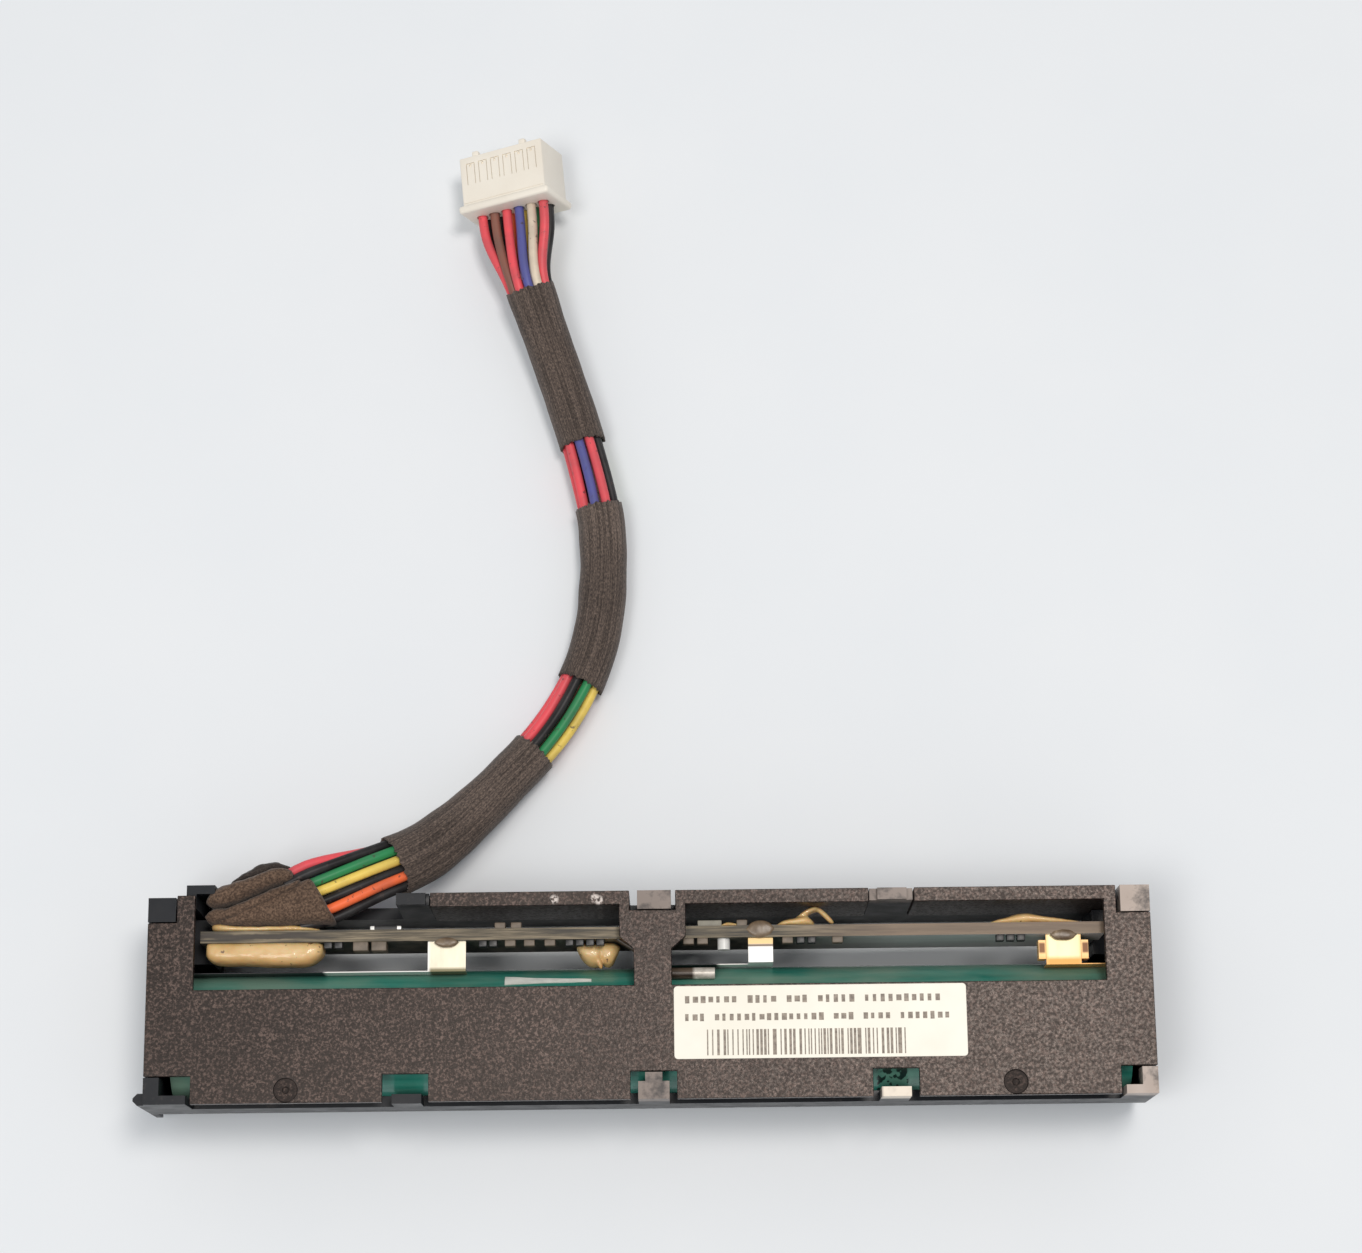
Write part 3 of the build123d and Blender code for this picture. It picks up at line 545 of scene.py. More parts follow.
def wovenCloth(name, dark, light, ribs, fine, source="Object", lines=None):
    # cloth: fine ribs one way, loose light fibres over them
    material, tree, shader = newFinish(name, light, 0.85, specular=0.25, sheen=0.12)
    vector = place(tree, ribs, source)
    threads = grain(tree, vector, 1, 3, 0.6)
    broad = grain(tree, place(tree), 90, 4)
    base = ramp(tree, threads, [(0.4, dark), (0.66, light)])
    shade = ramp(tree, broad, [(0.3, (0.75, 0.74, 0.74)), (0.7, (1.25, 1.25, 1.25))])
    base = blendColour(tree, 1.0, base, shade, "MULTIPLY")
    if lines:
        cords = ramp(tree, grain(tree, place(tree, lines, source), 1, 2, 0.5),
                     [(0.36, (0.6, 0.6, 0.6)), (0.64, (1.35, 1.35, 1.35))])
        base = blendColour(tree, 1.0, base, cords, "MULTIPLY")
    fluff = fade(tree, grain(tree, place(tree), fine, 5, 0.75), 0.56, 0.72, 0, 0.35)
    tree.links.new(blendColour(tree, fluff, base, tuple(min(1.0, v * 2.6) for v in light)), shader.inputs["Base Color"])
    addBump(tree, shader, threads, 0.4, 0.08 * mm)
    return material


finish["caseFront"] = grainyCase()
finish["caseBack"] = smoothCase()
finish["film"] = tealSkin()
finish["board"] = boardFibre()
finish["nickel"] = tabMetal("stripLeftMetal", (0.95, 0.87, 0.68), (0.22, 0.19, 0.1), (0.0044, 0.004), 0.2,
                            -0.0446, -0.0298)
finish["nickelMiddle"] = tabMetal("stripMiddleMetal", (0.97, 0.95, 0.92), (0.36, 0.33, 0.27), (0.0043, 0.004), 0.2,
                                  0.009, 0.0133, gold=True)
finish["brass"] = tabMetal("stripRightMetal", (0.98, 0.84, 0.5), (0.75, 0.36, 0.09), (0.0050, 0.0044), 0.3, 0.06, 0.05,
                           (0.05345, 0.05935))
finish["bead"] = thermistorSkin()
finish["glue"] = hotGlue()
finish["wrap"] = wovenCloth("wrapCloth", (0.066, 0.041, 0.028), (0.18, 0.115, 0.077), (3300, 3300, 3300), 2600)
# painted shade: a darker copy of the wrap cloth for the flap tucked behind the lobe
finish["wrapDark"] = wovenCloth("wrapBehindPaintedShade", (0.03, 0.024, 0.022), (0.06, 0.048, 0.042), (3300, 3300, 3300), 2600)
finish["sleeve"] = wovenCloth("sleeveWoven", (0.052, 0.04, 0.035), (0.15, 0.112, 0.09), (140, 60, 1), 1700,
                              "UV", (80, 1.6, 1))

wireColours = {
    "red": (0.84, 0.095, 0.115),
    "brown": (0.25, 0.11, 0.08),
    "blue": (0.1, 0.105, 0.33),
    "white": (0.76, 0.64, 0.5),
    "black": (0.014, 0.012, 0.013),
    "green": (0.03, 0.25, 0.09),
    "yellow": (0.88, 0.64, 0.13),
    "orange": (0.95, 0.17, 0.055),
}


def wireFinish(colour):
    # soft plastic with a greasy tone here and there and fine dark specks
    clean = wireColours[colour]
    soiled = tuple(0.72 * v + 0.025 for v in clean)
    material, tree, shader = newFinish(f"wire_{colour}", clean, 0.4, specular=0.3)
    vector = place(tree)
    base = ramp(tree, grain(tree, vector, 240, 4), [(0.36, soiled), (0.6, clean)])
    specks = fade(tree, grain(tree, vector, 1150, 3), 0.63, 0.71, 0, 0.8)
    tree.links.new(blendColour(tree, specks, base, (0.07, 0.05, 0.045)), shader.inputs["Base Color"])
    addBump(tree, shader, grain(tree, vector, 900, 3), 0.08, 0.05 * mm)
    return material


for colour in wireColours:
    finish[f"wire_{colour}"] = wireFinish(colour)
print("finishes ready")


# camera

cameraSettings = {"place": (0.00352, -0.05638, 0.43596), "turn": (14.5, 0, -0.67), "lens": 81.65, "sensor": 36}
bpy.ops.object.camera_add(location=cameraSettings["place"], rotation=[math.radians(a) for a in cameraSettings["turn"]])
camera = bpy.context.object
camera.data.lens = cameraSettings["lens"]
camera.data.sensor_width = cameraSettings["sensor"]
camera.data.sensor_fit = "HORIZONTAL"
camera.data.clip_start = 0.01
bpy.context.scene.camera = camera
print("camera set")


# lead: twelve wires that follow one route, read from its smooth line

leadRoute = [
    (-46.475, 14.5, 16.2),
    (-40.1, 17.2, 14.6),
    (-31.0, 21.1, 10.3),
    (-19.9, 32.8, 5.2),
    (-12.475, 41.5, 3.6),
    (-6.975, 53.0, 3.4),
    (-5.975, 68.5, 3.4),
    (-7.975, 78.5, 3.4),
    (-10.575, 88.0, 3.4),
    (-15.575, 102.6, 4.8),
    (-18.275, 110.6, 6.9025),
    (-18.975, 118.5, 6.9025),
]
leadSettings = {
    "wireDiameter": 1.4,
    "steps": 240,
    "ringRadius": 2.3,
    "coreRadius": 0.85,
    "mouth": (2.75, 2.3),
    "plugPitch": 2.0,
    "plugRoll": 23,
    "rootReach": 3.0,
    "plugReach": 1.5,
    "rootShare": 0.85,
    "coreTurn": 80,
    "plugFrom": 0.985,
    "wobble": 0.12,
    "waves": (21, 17),
    "pointsEach": 56,
    "seed": 40,
}


def smoothCurve(name, spots, order, resolution):
    curve = bpy.data.curves.new(name, "CURVE")
    curve.dimensions = "3D"
    curve.resolution_u = resolution
    spline = curve.splines.new("NURBS")
    spline.points.add(len(spots) - 1)
    for point, spot in zip(spline.points, spots):
        point.co = (*spot, 1)
    spline.order_u = order
    spline.use_endpoint_u = True
    return curve


def readRoute(points, count):
    # evenly spaced places along the smooth line, and its length
    guide = newPiece("leadGuide", smoothCurve("leadGuide", [[v * mm for v in point] for point in points], 3, 24))
    dense = [v.co.copy() for v in bpy.data.meshes.new_from_object(guide).vertices]
    bpy.data.objects.remove(guide)
    travelled = [0.0]
    for a, b in zip(dense, dense[1:]):
        travelled.append(travelled[-1] + (b - a).length)
    even, k = [], 0
    for i in range(count):
        goal = travelled[-1] * i / (count - 1)
        while k < len(dense) - 2 and travelled[k + 1] < goal:
            k += 1
        share = (goal - travelled[k]) / (travelled[k + 1] - travelled[k])
        even.append(dense[k].lerp(dense[k + 1], share))
    return even, travelled[-1]


leadLine, leadLength = readRoute(leadRoute, leadSettings["steps"])
print("lead length", round(leadLength, 4))


def frameAt(share):
    # the place on the line, the way it runs, and the two ways across it
    last = len(leadLine) - 1
    t = min(max(share, 0.0), 1.0) * last
    k = min(int(t), last - 1)
    spot = leadLine[k].lerp(leadLine[k + 1], t - k)
    ahead = leadLine[min(k + 3, last)] - leadLine[max(k - 2, 0)]
    ahead.normalize()
    side = ahead.cross(Vector((0, 0, 1))).normalized()
    return spot, ahead, side, side.cross(ahead)


def shareNear(a, b):
    # where the line passes the middle of one run of the route
    middle = (Vector(leadRoute[a]) + Vector(leadRoute[b])) * 0.5 * mm
    nearest = min(range(len(leadLine)), key=lambda i: (leadLine[i] - middle).length)
    return nearest / (len(leadLine) - 1)


sleeveShares = [(shareNear(i, i + 1), shareNear(i + 2, i + 3)) for i in (1, 4, 7)]

# where each wire sits: in the flat rows at the board, round the ring, and in the plug
wireNames = ["red1", "brown", "red2", "blue", "white", "red3",
             "black2", "black3", "orange", "yellow", "green", "black1"]
# across and up from the middle of the lead, in millimetres: at the wrap, then at the first sleeve's mouth
boardRows = {
    "red3": (-4.3, 0.5), "black1": (-3.0, 0.95), "green": (-1.5, 0.85), "yellow": (-0.05, 0.8), "black2": (1.4, 0.5),
    "orange": (2.85, 0.85), "black3": (4.15, 0.1), "blue": (-2.9, -0.75), "red2": (-1.45, -0.75),
    "white": (0.0, -0.75), "brown": (1.45, -0.8), "red1": (2.9, -0.75),
}
mouthRows = {
    "red3": (-3.2, -0.75), "black1": (-3.05, 0.75), "green": (-1.75, 1.35), "yellow": (-0.3, 1.5),
    "black2": (0.95, 0.85), "orange": (2.15, 1.3), "black3": (3.25, 0.3), "blue": (-1.75, -0.35), "red2": (-0.35, 0.0),
    "white": (1.1, -0.6), "brown": (2.5, -0.5), "red1": (0.1, -1.5),
}
# angles round the bundle in the first and second gaps between sleeves
firstGap = {"red2": 178, "red3": 138, "black1": 98, "green": 56, "yellow": 14, "orange": -30, "black3": -68,
            "red1": -106, "blue": -144}
secondGap = {"red2": 146, "red3": 62, "black1": 18, "green": -24, "yellow": -66, "orange": -108, "black3": -150,
             "red1": -172, "blue": -256}
coreAngles = {"brown": 0, "white": 120, "black2": 240}


def ringSpot(name, amount):
    # amount runs from the first gap (0) to the second (1)
    if name in coreAngles:
        radius, angle = leadSettings["coreRadius"], coreAngles[name] - leadSettings["coreTurn"] * amount
    else:
        radius = leadSettings["ringRadius"]
        angle = firstGap[name] + (secondGap[name] - firstGap[name]) * amount
    angle = math.radians(angle)
    return Vector((radius * math.cos(angle), radius * math.sin(angle)))


def plugSpot(name, amount):
    # from the round mouth of the last sleeve (0) to the plug's cavities (1)
    index = wireNames.index(name)
    column, upper = index % 6, index < 6
    angle = math.radians(165 - 30 * column if upper else 195 + 30 * column)
    mouth = Vector((leadSettings["mouth"][0] * math.cos(angle), leadSettings["mouth"][1] * math.sin(angle)))
    pitch = leadSettings["plugPitch"]
    cavity = Vector(((column - 2.5) * pitch, pitch / 2 if upper else -pitch / 2))
    x, z = mouth.lerp(cavity, amount)
    roll = math.radians(leadSettings["plugRoll"])
    return Vector((x * math.cos(roll) - z * math.sin(roll), x * math.sin(roll) + z * math.cos(roll)))


def ease(value):
    value = min(max(value, 0.0), 1.0)
    return value * value * (3 - 2 * value)


def wireSpot(name, share):
    # the offset of one wire across the lead, in millimetres
    (a0, a1), (b0, b1), (c0, c1) = sleeveShares
    if share < a0:
        return Vector(boardRows[name]).lerp(Vector(mouthRows[name]), ease(share / a0))
    if share < a1:
        return Vector(mouthRows[name]).lerp(ringSpot(name, 0), ease((share - a0) / (a1 - a0)))
    if share < b1:
        return ringSpot(name, ease((share - b0) / (b1 - b0)))
    if share < c1:
        return ringSpot(name, 1).lerp(plugSpot(name, 0), ease((share - c0) / (c1 - c0)))
    return plugSpot(name, ease((share - c1) / (leadSettings["plugFrom"] - c1)))


plugAhead = Vector((-0.0882, 0.9961, 0))
for index, wireName in enumerate(wireNames):
    dice = random.Random(leadSettings["seed"] + index)
    sway = [dice.uniform(0, 6.28) for _ in range(2)]
    spots = []
    for step in range(leadSettings["pointsEach"]):
        share = step / (leadSettings["pointsEach"] - 1)
        spot, _, side, up = frameAt(share)
        across = wireSpot(wireName, share)
        loose = leadSettings["wobble"] * math.sin(math.pi * share)
        across.x += loose * math.sin(share * leadSettings["waves"][0] + sway[0])
        across.y += loose * math.sin(share * leadSettings["waves"][1] + sway[1])
        spots.append(spot + (side * across.x + up * across.y) * mm)
    spot, ahead, side, up = frameAt(0)
    root = wireSpot(wireName, 0)
    inward = side * root.x * leadSettings["rootShare"] + up * root.y
    spots.insert(0, spot - ahead * leadSettings["rootReach"] * mm + inward * mm)
    spots.append(spots[-1] + plugAhead * leadSettings["plugReach"] * mm)
    curve = smoothCurve(f"wire_{wireName}", spots, 4, 3)
    curve.bevel_depth = leadSettings["wireDiameter"] / 2 * mm
    curve.bevel_resolution = 3
    curve.use_fill_caps = True
    wire = newPiece(f"wire_{wireName}", curve)
    curve.materials.append(finish["wire_" + wireName.rstrip("123")])
    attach(wire, "root")
    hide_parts("wire_bundle")
print("wires laid")


# woven sleeves on the lead

sleeveSettings = {"around": 72, "pitch": 0.8, "wall": 0.3, "flare": (4.35, 2.95), "body": (3.42, 3.3),
                  "end": (3.6, 3.3), "fray": 0.22, "crumple": 0.035, "floorGap": 0.1, "seed": 7}


def sleeveShape(number, share):
    # half width and half height of a sleeve along its own length
    body = Vector(sleeveSettings["body"])
    if number == 0:
        return Vector(sleeveSettings["flare"]).lerp(body, ease(share / 0.8))
    if number == 2:
        return body.lerp(Vector(sleeveSettings["end"]), ease((share - 0.7) / 0.3))
    return body


def wovenSleeve(number, first, last):
    length = (last - first) * leadLength / mm
    around = sleeveSettings["around"]
    dice = random.Random(sleeveSettings["seed"] + number)
    frays = [dice.uniform(-1, 1) for _ in range(around + 1)]

    def shapeAt(v, angle):
        spot, ahead, side, up = frameAt(first + (last - first) * v)
        shape = sleeveShape(number, v)
        crumple = noise.noise(Vector((math.cos(angle) * 1.2, math.sin(angle) * 1.2, v * length / 4 + number * 9)))
        reach = 1 + sleeveSettings["crumple"] * crumple
        end = 1 if v > 0.999 else -1 if v < 0.001 else 0
        fray = end * sleeveSettings["fray"] * frays[round(angle / (2 * math.pi) * around) % around]
        spot = spot + side * (shape.x * reach * math.cos(angle)) * mm + up * (shape.y * reach * math.sin(angle)) * mm
        spot += ahead * fray * mm
        spot.z = max(spot.z, (sleeveSettings["floorGap"] + 0.02 * math.cos(angle)) * mm)
        return spot

    piece = wrapGrid(f"sleeve_{number + 1}", int(length / sleeveSettings["pitch"]), around, shapeAt, 0.01)
    useModifier(piece, "SOLIDIFY", thickness=sleeveSettings["wall"] * mm, offset=-1)
    bpy.ops.object.shade_smooth()
    return finishPiece(piece, "sleeve", [finish["sleeve"]], "wire_sleeves")


leadSleeves = [wovenSleeve(i, *limits) for i, limits in enumerate(sleeveShares)]
print("sleeves on")


# plug on the end of the lead

plugSettings = {
    "body": (13.4, 8.8, 7.6),
    "flange": (14.6, 1.2, 8.8),
    "lip": 0.45,
    "edge": 0.25,
    "mouth": 0.86,
    "cavity": 1.5,
    "mark": (1.4, 3.2, 1.2),
    "line": 0.12,
    "keys": (-4.3, 3.4),
    "keySize": (1.0, 1.1, 1.0),
    "keyDrop": 0.4,
    "mouthRun": (4, 0.6),
    "cavityFrom": 2.4,
    "markDeep": 0.22,
}


def carve(piece, cutters):
    tool = joinPieces(cutters, "cutter")
    useModifier(piece, "BOOLEAN", operation="DIFFERENCE", solver="EXACT", object=tool)
    bpy.data.objects.remove(tool)


def plugBody():
    (wide, long, high), (rimWide, rimLong, rimHigh) = plugSettings["body"], plugSettings["flange"]
    piece = box((-rimWide / 2, rimWide / 2), (0, rimLong), (-rimHigh / 2, rimHigh / 2))
    bevelEdges(piece, plugSettings["lip"], 4)
    pickFaces(piece, lambda face: face.normal.y > 0.99)
    bpy.ops.mesh.inset(thickness=((rimWide - wide) / 2 - plugSettings["lip"]) * mm, depth=0)
    bpy.ops.mesh.extrude_region_move(TRANSFORM_OT_translate={"value": (0, (long - rimLong) * mm, 0)})
    objectMode()
    bevelEdges(piece, plugSettings["edge"], 3, 60)
    mouths, cavities, marks = [], [], []
    markWide, markLong, setback = plugSettings["mark"]
    line, half = plugSettings["line"], plugSettings["cavity"] / 2
    top = long - setback
    mouthLong, mouthMiddle = plugSettings["mouthRun"]
    for x in [(i - 2.5) * leadSettings["plugPitch"] for i in range(6)]:
        for z in (-1, 1):
            bpy.ops.mesh.primitive_cylinder_add(vertices=32, radius=plugSettings["mouth"] * mm, depth=mouthLong * mm,
                                                location=(x * mm, mouthMiddle * mm, z * mm),
                                                rotation=(math.pi / 2, 0, 0))
            mouths.append(settle(bpy.context.object, "mouth"))
            cavities.append(box((x - half, x + half), (plugSettings["cavityFrom"], long + 1), (z - half, z + half)))
            surface = sorted((z * high / 2 + z, z * (high / 2 - plugSettings["markDeep"])))
            for side in (-1, 1):
                edge = x + side * (markWide / 2 - line / 2)
                marks.append(box((edge - line / 2, edge + line / 2), (top - markLong, top - 0.02), surface))
                arm = sorted((x + side * 0.02, edge + side * line / 2))
                marks.append(box(arm, (top, top + line * 1.6), surface))
            marks.append(box((x - 0.16, x + 0.16), (top - 0.45, top - 0.05), surface))
    rim = sorted((high / 2 + 1, high / 2 - 0.1))
    marks.append(box((-wide / 2 + 0.2, wide / 2 - 0.2), (rimLong + 0.35, rimLong + 0.43), rim))
    for cutters in (mouths, cavities, marks):
        carve(piece, cutters)
    keyWide, keyLong, keyHigh = plugSettings["keySize"]
    keyTop = high / 2 - plugSettings["keyDrop"]
    keys = []
    for x in plugSettings["keys"]:
        key = box((x - keyWide / 2, x + keyWide / 2), (long - 0.3, long + keyLong - 0.2),
                  (keyTop - keyHigh, keyTop))
        bevelEdges(key, 0.2, 3)
        keys.append(key)
    piece = joinPieces([piece] + keys, "plug_body")
    piece.location = Vector(leadRoute[-1]) * mm
    piece.rotation_euler = (Matrix.Rotation(math.atan2(-plugAhead.x, plugAhead.y), 3, "Z")
                            @ Matrix.Rotation(-math.radians(leadSettings["plugRoll"]), 3, "Y")).to_euler()
    smoothEdges(settle(piece, "plug_body"))
    return piece


plugHousing = plugBody()
finishPiece(plugHousing, "plug", [finish["nylon"]], "plug_housing")
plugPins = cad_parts["plug_terminals"]
plugPins.data.materials.clear()
plugPins.data.materials.append(finish["tin"])
print("plug on")


# cloth wrap over the wire roots

# each form: lower edge, upper edge, and the height it fills, from its rounded left end to the wires
wrapSettings = {
    "lobe": ([(-60.7, 13.4), (-59.2, 12.75), (-56.4, 13.45), (-53.4, 14.7), (-50.6, 15.85), (-48.3, 16.5)],
             [(-60.6, 13.8), (-59.6, 15.2), (-57.1, 16.25), (-54.3, 17.1), (-51.6, 18.15), (-49.0, 18.35)],
             [(15.2, 18.2), (14.0, 19.3), (13.6, 19.7), (13.6, 19.7), (13.8, 19.6), (14.2, 19.2)]),
    "roll": ([(-60.6, 11.4), (-59.6, 10.5), (-57.2, 10.95), (-54.2, 12.2), (-51.0, 13.7), (-48.0, 15.3)],
             [(-60.6, 11.6), (-59.6, 12.55), (-56.9, 13.05), (-53.8, 14.3), (-50.8, 15.55), (-47.6, 16.6)],
             [(14.6, 18.0), (13.4, 19.0), (13.2, 19.4), (13.2, 19.5), (13.4, 19.6), (14.0, 19.6)]),
    "fan": ([(-59.6, 11.0), (-57.4, 10.45), (-54.0, 10.4), (-50.4, 10.35), (-46.6, 10.4), (-42.6, 10.6)],
            [(-59.2, 11.4), (-56.6, 12.1), (-53.4, 13.5), (-50.4, 15.0), (-48.0, 16.2), (-46.4, 17.0)],
            [(14.2, 17.6), (13.0, 18.6), (12.8, 19.0), (12.8, 19.4), (12.8, 19.6), (13.0, 19.2)]),
    "flap": ([(-58.5, 15.4), (-56.4, 16.3), (-54.0, 17.1), (-51.8, 17.9), (-49.4, 17.9)],
             [(-58.2, 15.9), (-56.2, 17.4), (-53.6, 18.9), (-51.4, 19.25), (-49.2, 18.7)],
             [(13.6, 16.0), (13.2, 17.2), (13.0, 17.6), (13.0, 17.6), (13.4, 17.2)]),
}
wrapEnds = {"fan": (0.6, 44), "roll": (0.8, 36)}  # how boxy each form is, and how blunt its ends
wrapSwell = [(0.16, 0.7, 5), (0.02, 2.4, 3)]  # height and fineness of the swellings, and their step from form to form
for number, (name, (lowEdge, highEdge, depth)) in enumerate(wrapSettings.items()):
    boxy, ends = wrapEnds.get(name, (0.8, 10))
    lump = softForm(f"wrap_{name}", lowEdge, highEdge, depth, 90, 44, boxy, ends)
    for swell, fineness, step in wrapSwell:
        roughen(lump, swell, fineness, number * step)
    # the flap behind the lobe takes the darker copy of the cloth, painted shade
    finishPiece(lump, "cloth_wrap", [finish["wrapDark" if name == "flap" else "wrap"]], "wrap_at_board")
print("wrap on")


# case

# each shell: its slot, its finish and how far its edges are broken
caseSettings = {"front_shell": ("case_front", "caseFront", 0.22), "back_shell": ("case_back", "caseBack", 0.2)}
for node, (slotName, plastic, edge) in caseSettings.items():
    finishPiece(dressCopy(node, "case_" + node, edge), slotName, [finish[plastic]], node)
print("case on")


# cells, strips and board

for node in ("cell_film_left", "cell_film_right"):
    finishPiece(dressCopy(node, node + "_skin", 0), "cell_film", [finish["film"]], node)
stripSettings = {
    "strip_left": ("nickel", "nickel"),
    "strip_middle": ("nickel", "nickelMiddle"),
    "strip_right": ("brass", "brass"),
}
for node, (slotName, metal) in stripSettings.items():
    finishPiece(dressCopy(node, node + "_bent", 0.05), slotName, [finish[metal]], node)

carriedOver = {
    "cell_left": "can", "cell_right": "can", "insulating_rings": "paper", "circuit_board": "board",
    "thermistor_leads": "lead", "round_capacitor": "drum",
}
for node, name in carriedOver.items():
    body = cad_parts[node]
    body.data.materials.clear()
    body.data.materials.append(finish[name])
slipSettings = {"x": (-19.8, -8.0), "axis": (-4.3, 10.25), "radius": 9.2, "wide": (35.5, 47.5), "narrow": (40.5, 44.0),
                "taper": 0.7, "ripple": 0.12, "thick": 0.12}


def paperSlip():
    # a slip curved with the cell, tapering to the right
    bpy.ops.mesh.primitive_grid_add(x_subdivisions=24, y_subdivisions=8, size=1)
    piece = bpy.context.object
    (x0, x1), (y0, z0), radius = slipSettings["x"], slipSettings["axis"], slipSettings["radius"]
    for vertex in piece.data.vertices:
        u, v = vertex.co.x + 0.5, vertex.co.y + 0.5
        share = u ** slipSettings["taper"]
        low, high = (a + (b - a) * share for a, b in zip(slipSettings["wide"], slipSettings["narrow"]))
        turn = math.radians(low + (high - low) * v)
        lift = radius + slipSettings["ripple"] * noise.noise(Vector((u * 4, v, 3)))
        vertex.co = Vector((x0 + (x1 - x0) * u, y0 + lift * math.cos(turn), z0 + lift * math.sin(turn))) * mm
    useModifier(piece, "SOLIDIFY", thickness=slipSettings["thick"] * mm, offset=1)
    return settle(piece, "paper_slip")


finishPiece(paperSlip(), "paper", [finish["paper"]], "paper_strip")
for node, slotName, metal in (("thermistor", "bead", "bead"), ("current_shunt", "shunt_grey", "shunt")):
    finishPiece(dressCopy(node, node + "_body", 0.12), slotName, [finish[metal]], node)


# each kind: its slot, its finish and the share of its length that each tinned end takes
chipKinds = {
    "chip_resistors": ("chip_light", "chipDark", 0.46),
    "chip_capacitors": ("chip_brown", "chipBrown", 0.32),
    "power_transistors": ("chip_brown", "chipBrown", 0.16),
    "controller_chip": ("chip_dark", "chipDark", 0.13),
}
chipSettings = {"round": 0.12, "proud": 0.55, "larger": (0.05, 0.35, 0), "swell": 0.06}


def chipOn(low, high, name, capShare):
    # ceramic body with swollen tinned ends
    high = high + Vector((0, 0, chipSettings["proud"] * mm))
    if name == "chip_resistors":
        low = low - Vector(chipSettings["larger"]) * mm
    middle, size = (low + high) / 2, high - low
    piece = box(*zip(low / mm, high / mm), name)
    editAll(piece)
    for share in (capShare, 1 - capShare):
        bpy.ops.mesh.select_all(action="SELECT")
        bpy.ops.mesh.bisect(plane_co=(low.x + size.x * share, 0, 0), plane_no=(1, 0, 0))
    objectMode()
    for _ in range(2):
        piece.data.materials.append(None)
    for face in piece.data.polygons:
        face.material_index = 0 if abs(face.center.x - middle.x) < size.x * (0.5 - capShare) else 1
    pickFaces(piece, lambda face: face.material_index == 1)
    bpy.ops.transform.shrink_fatten(value=chipSettings["swell"] * mm)
    objectMode()
    bevelEdges(piece, chipSettings["round"], 3)
    smoothEdges(piece)
    return piece


for node, (slotName, tone, cap) in chipKinds.items():
    chips = [chipOn(low, high, node, cap) for low, high in looseBoxes(node)]
    piece = joinPieces(chips, node + "_on_board")
    finishPiece(piece, slotName, [finish[tone], finish["tin"]], node)
print("board dressed")


# glue and solder

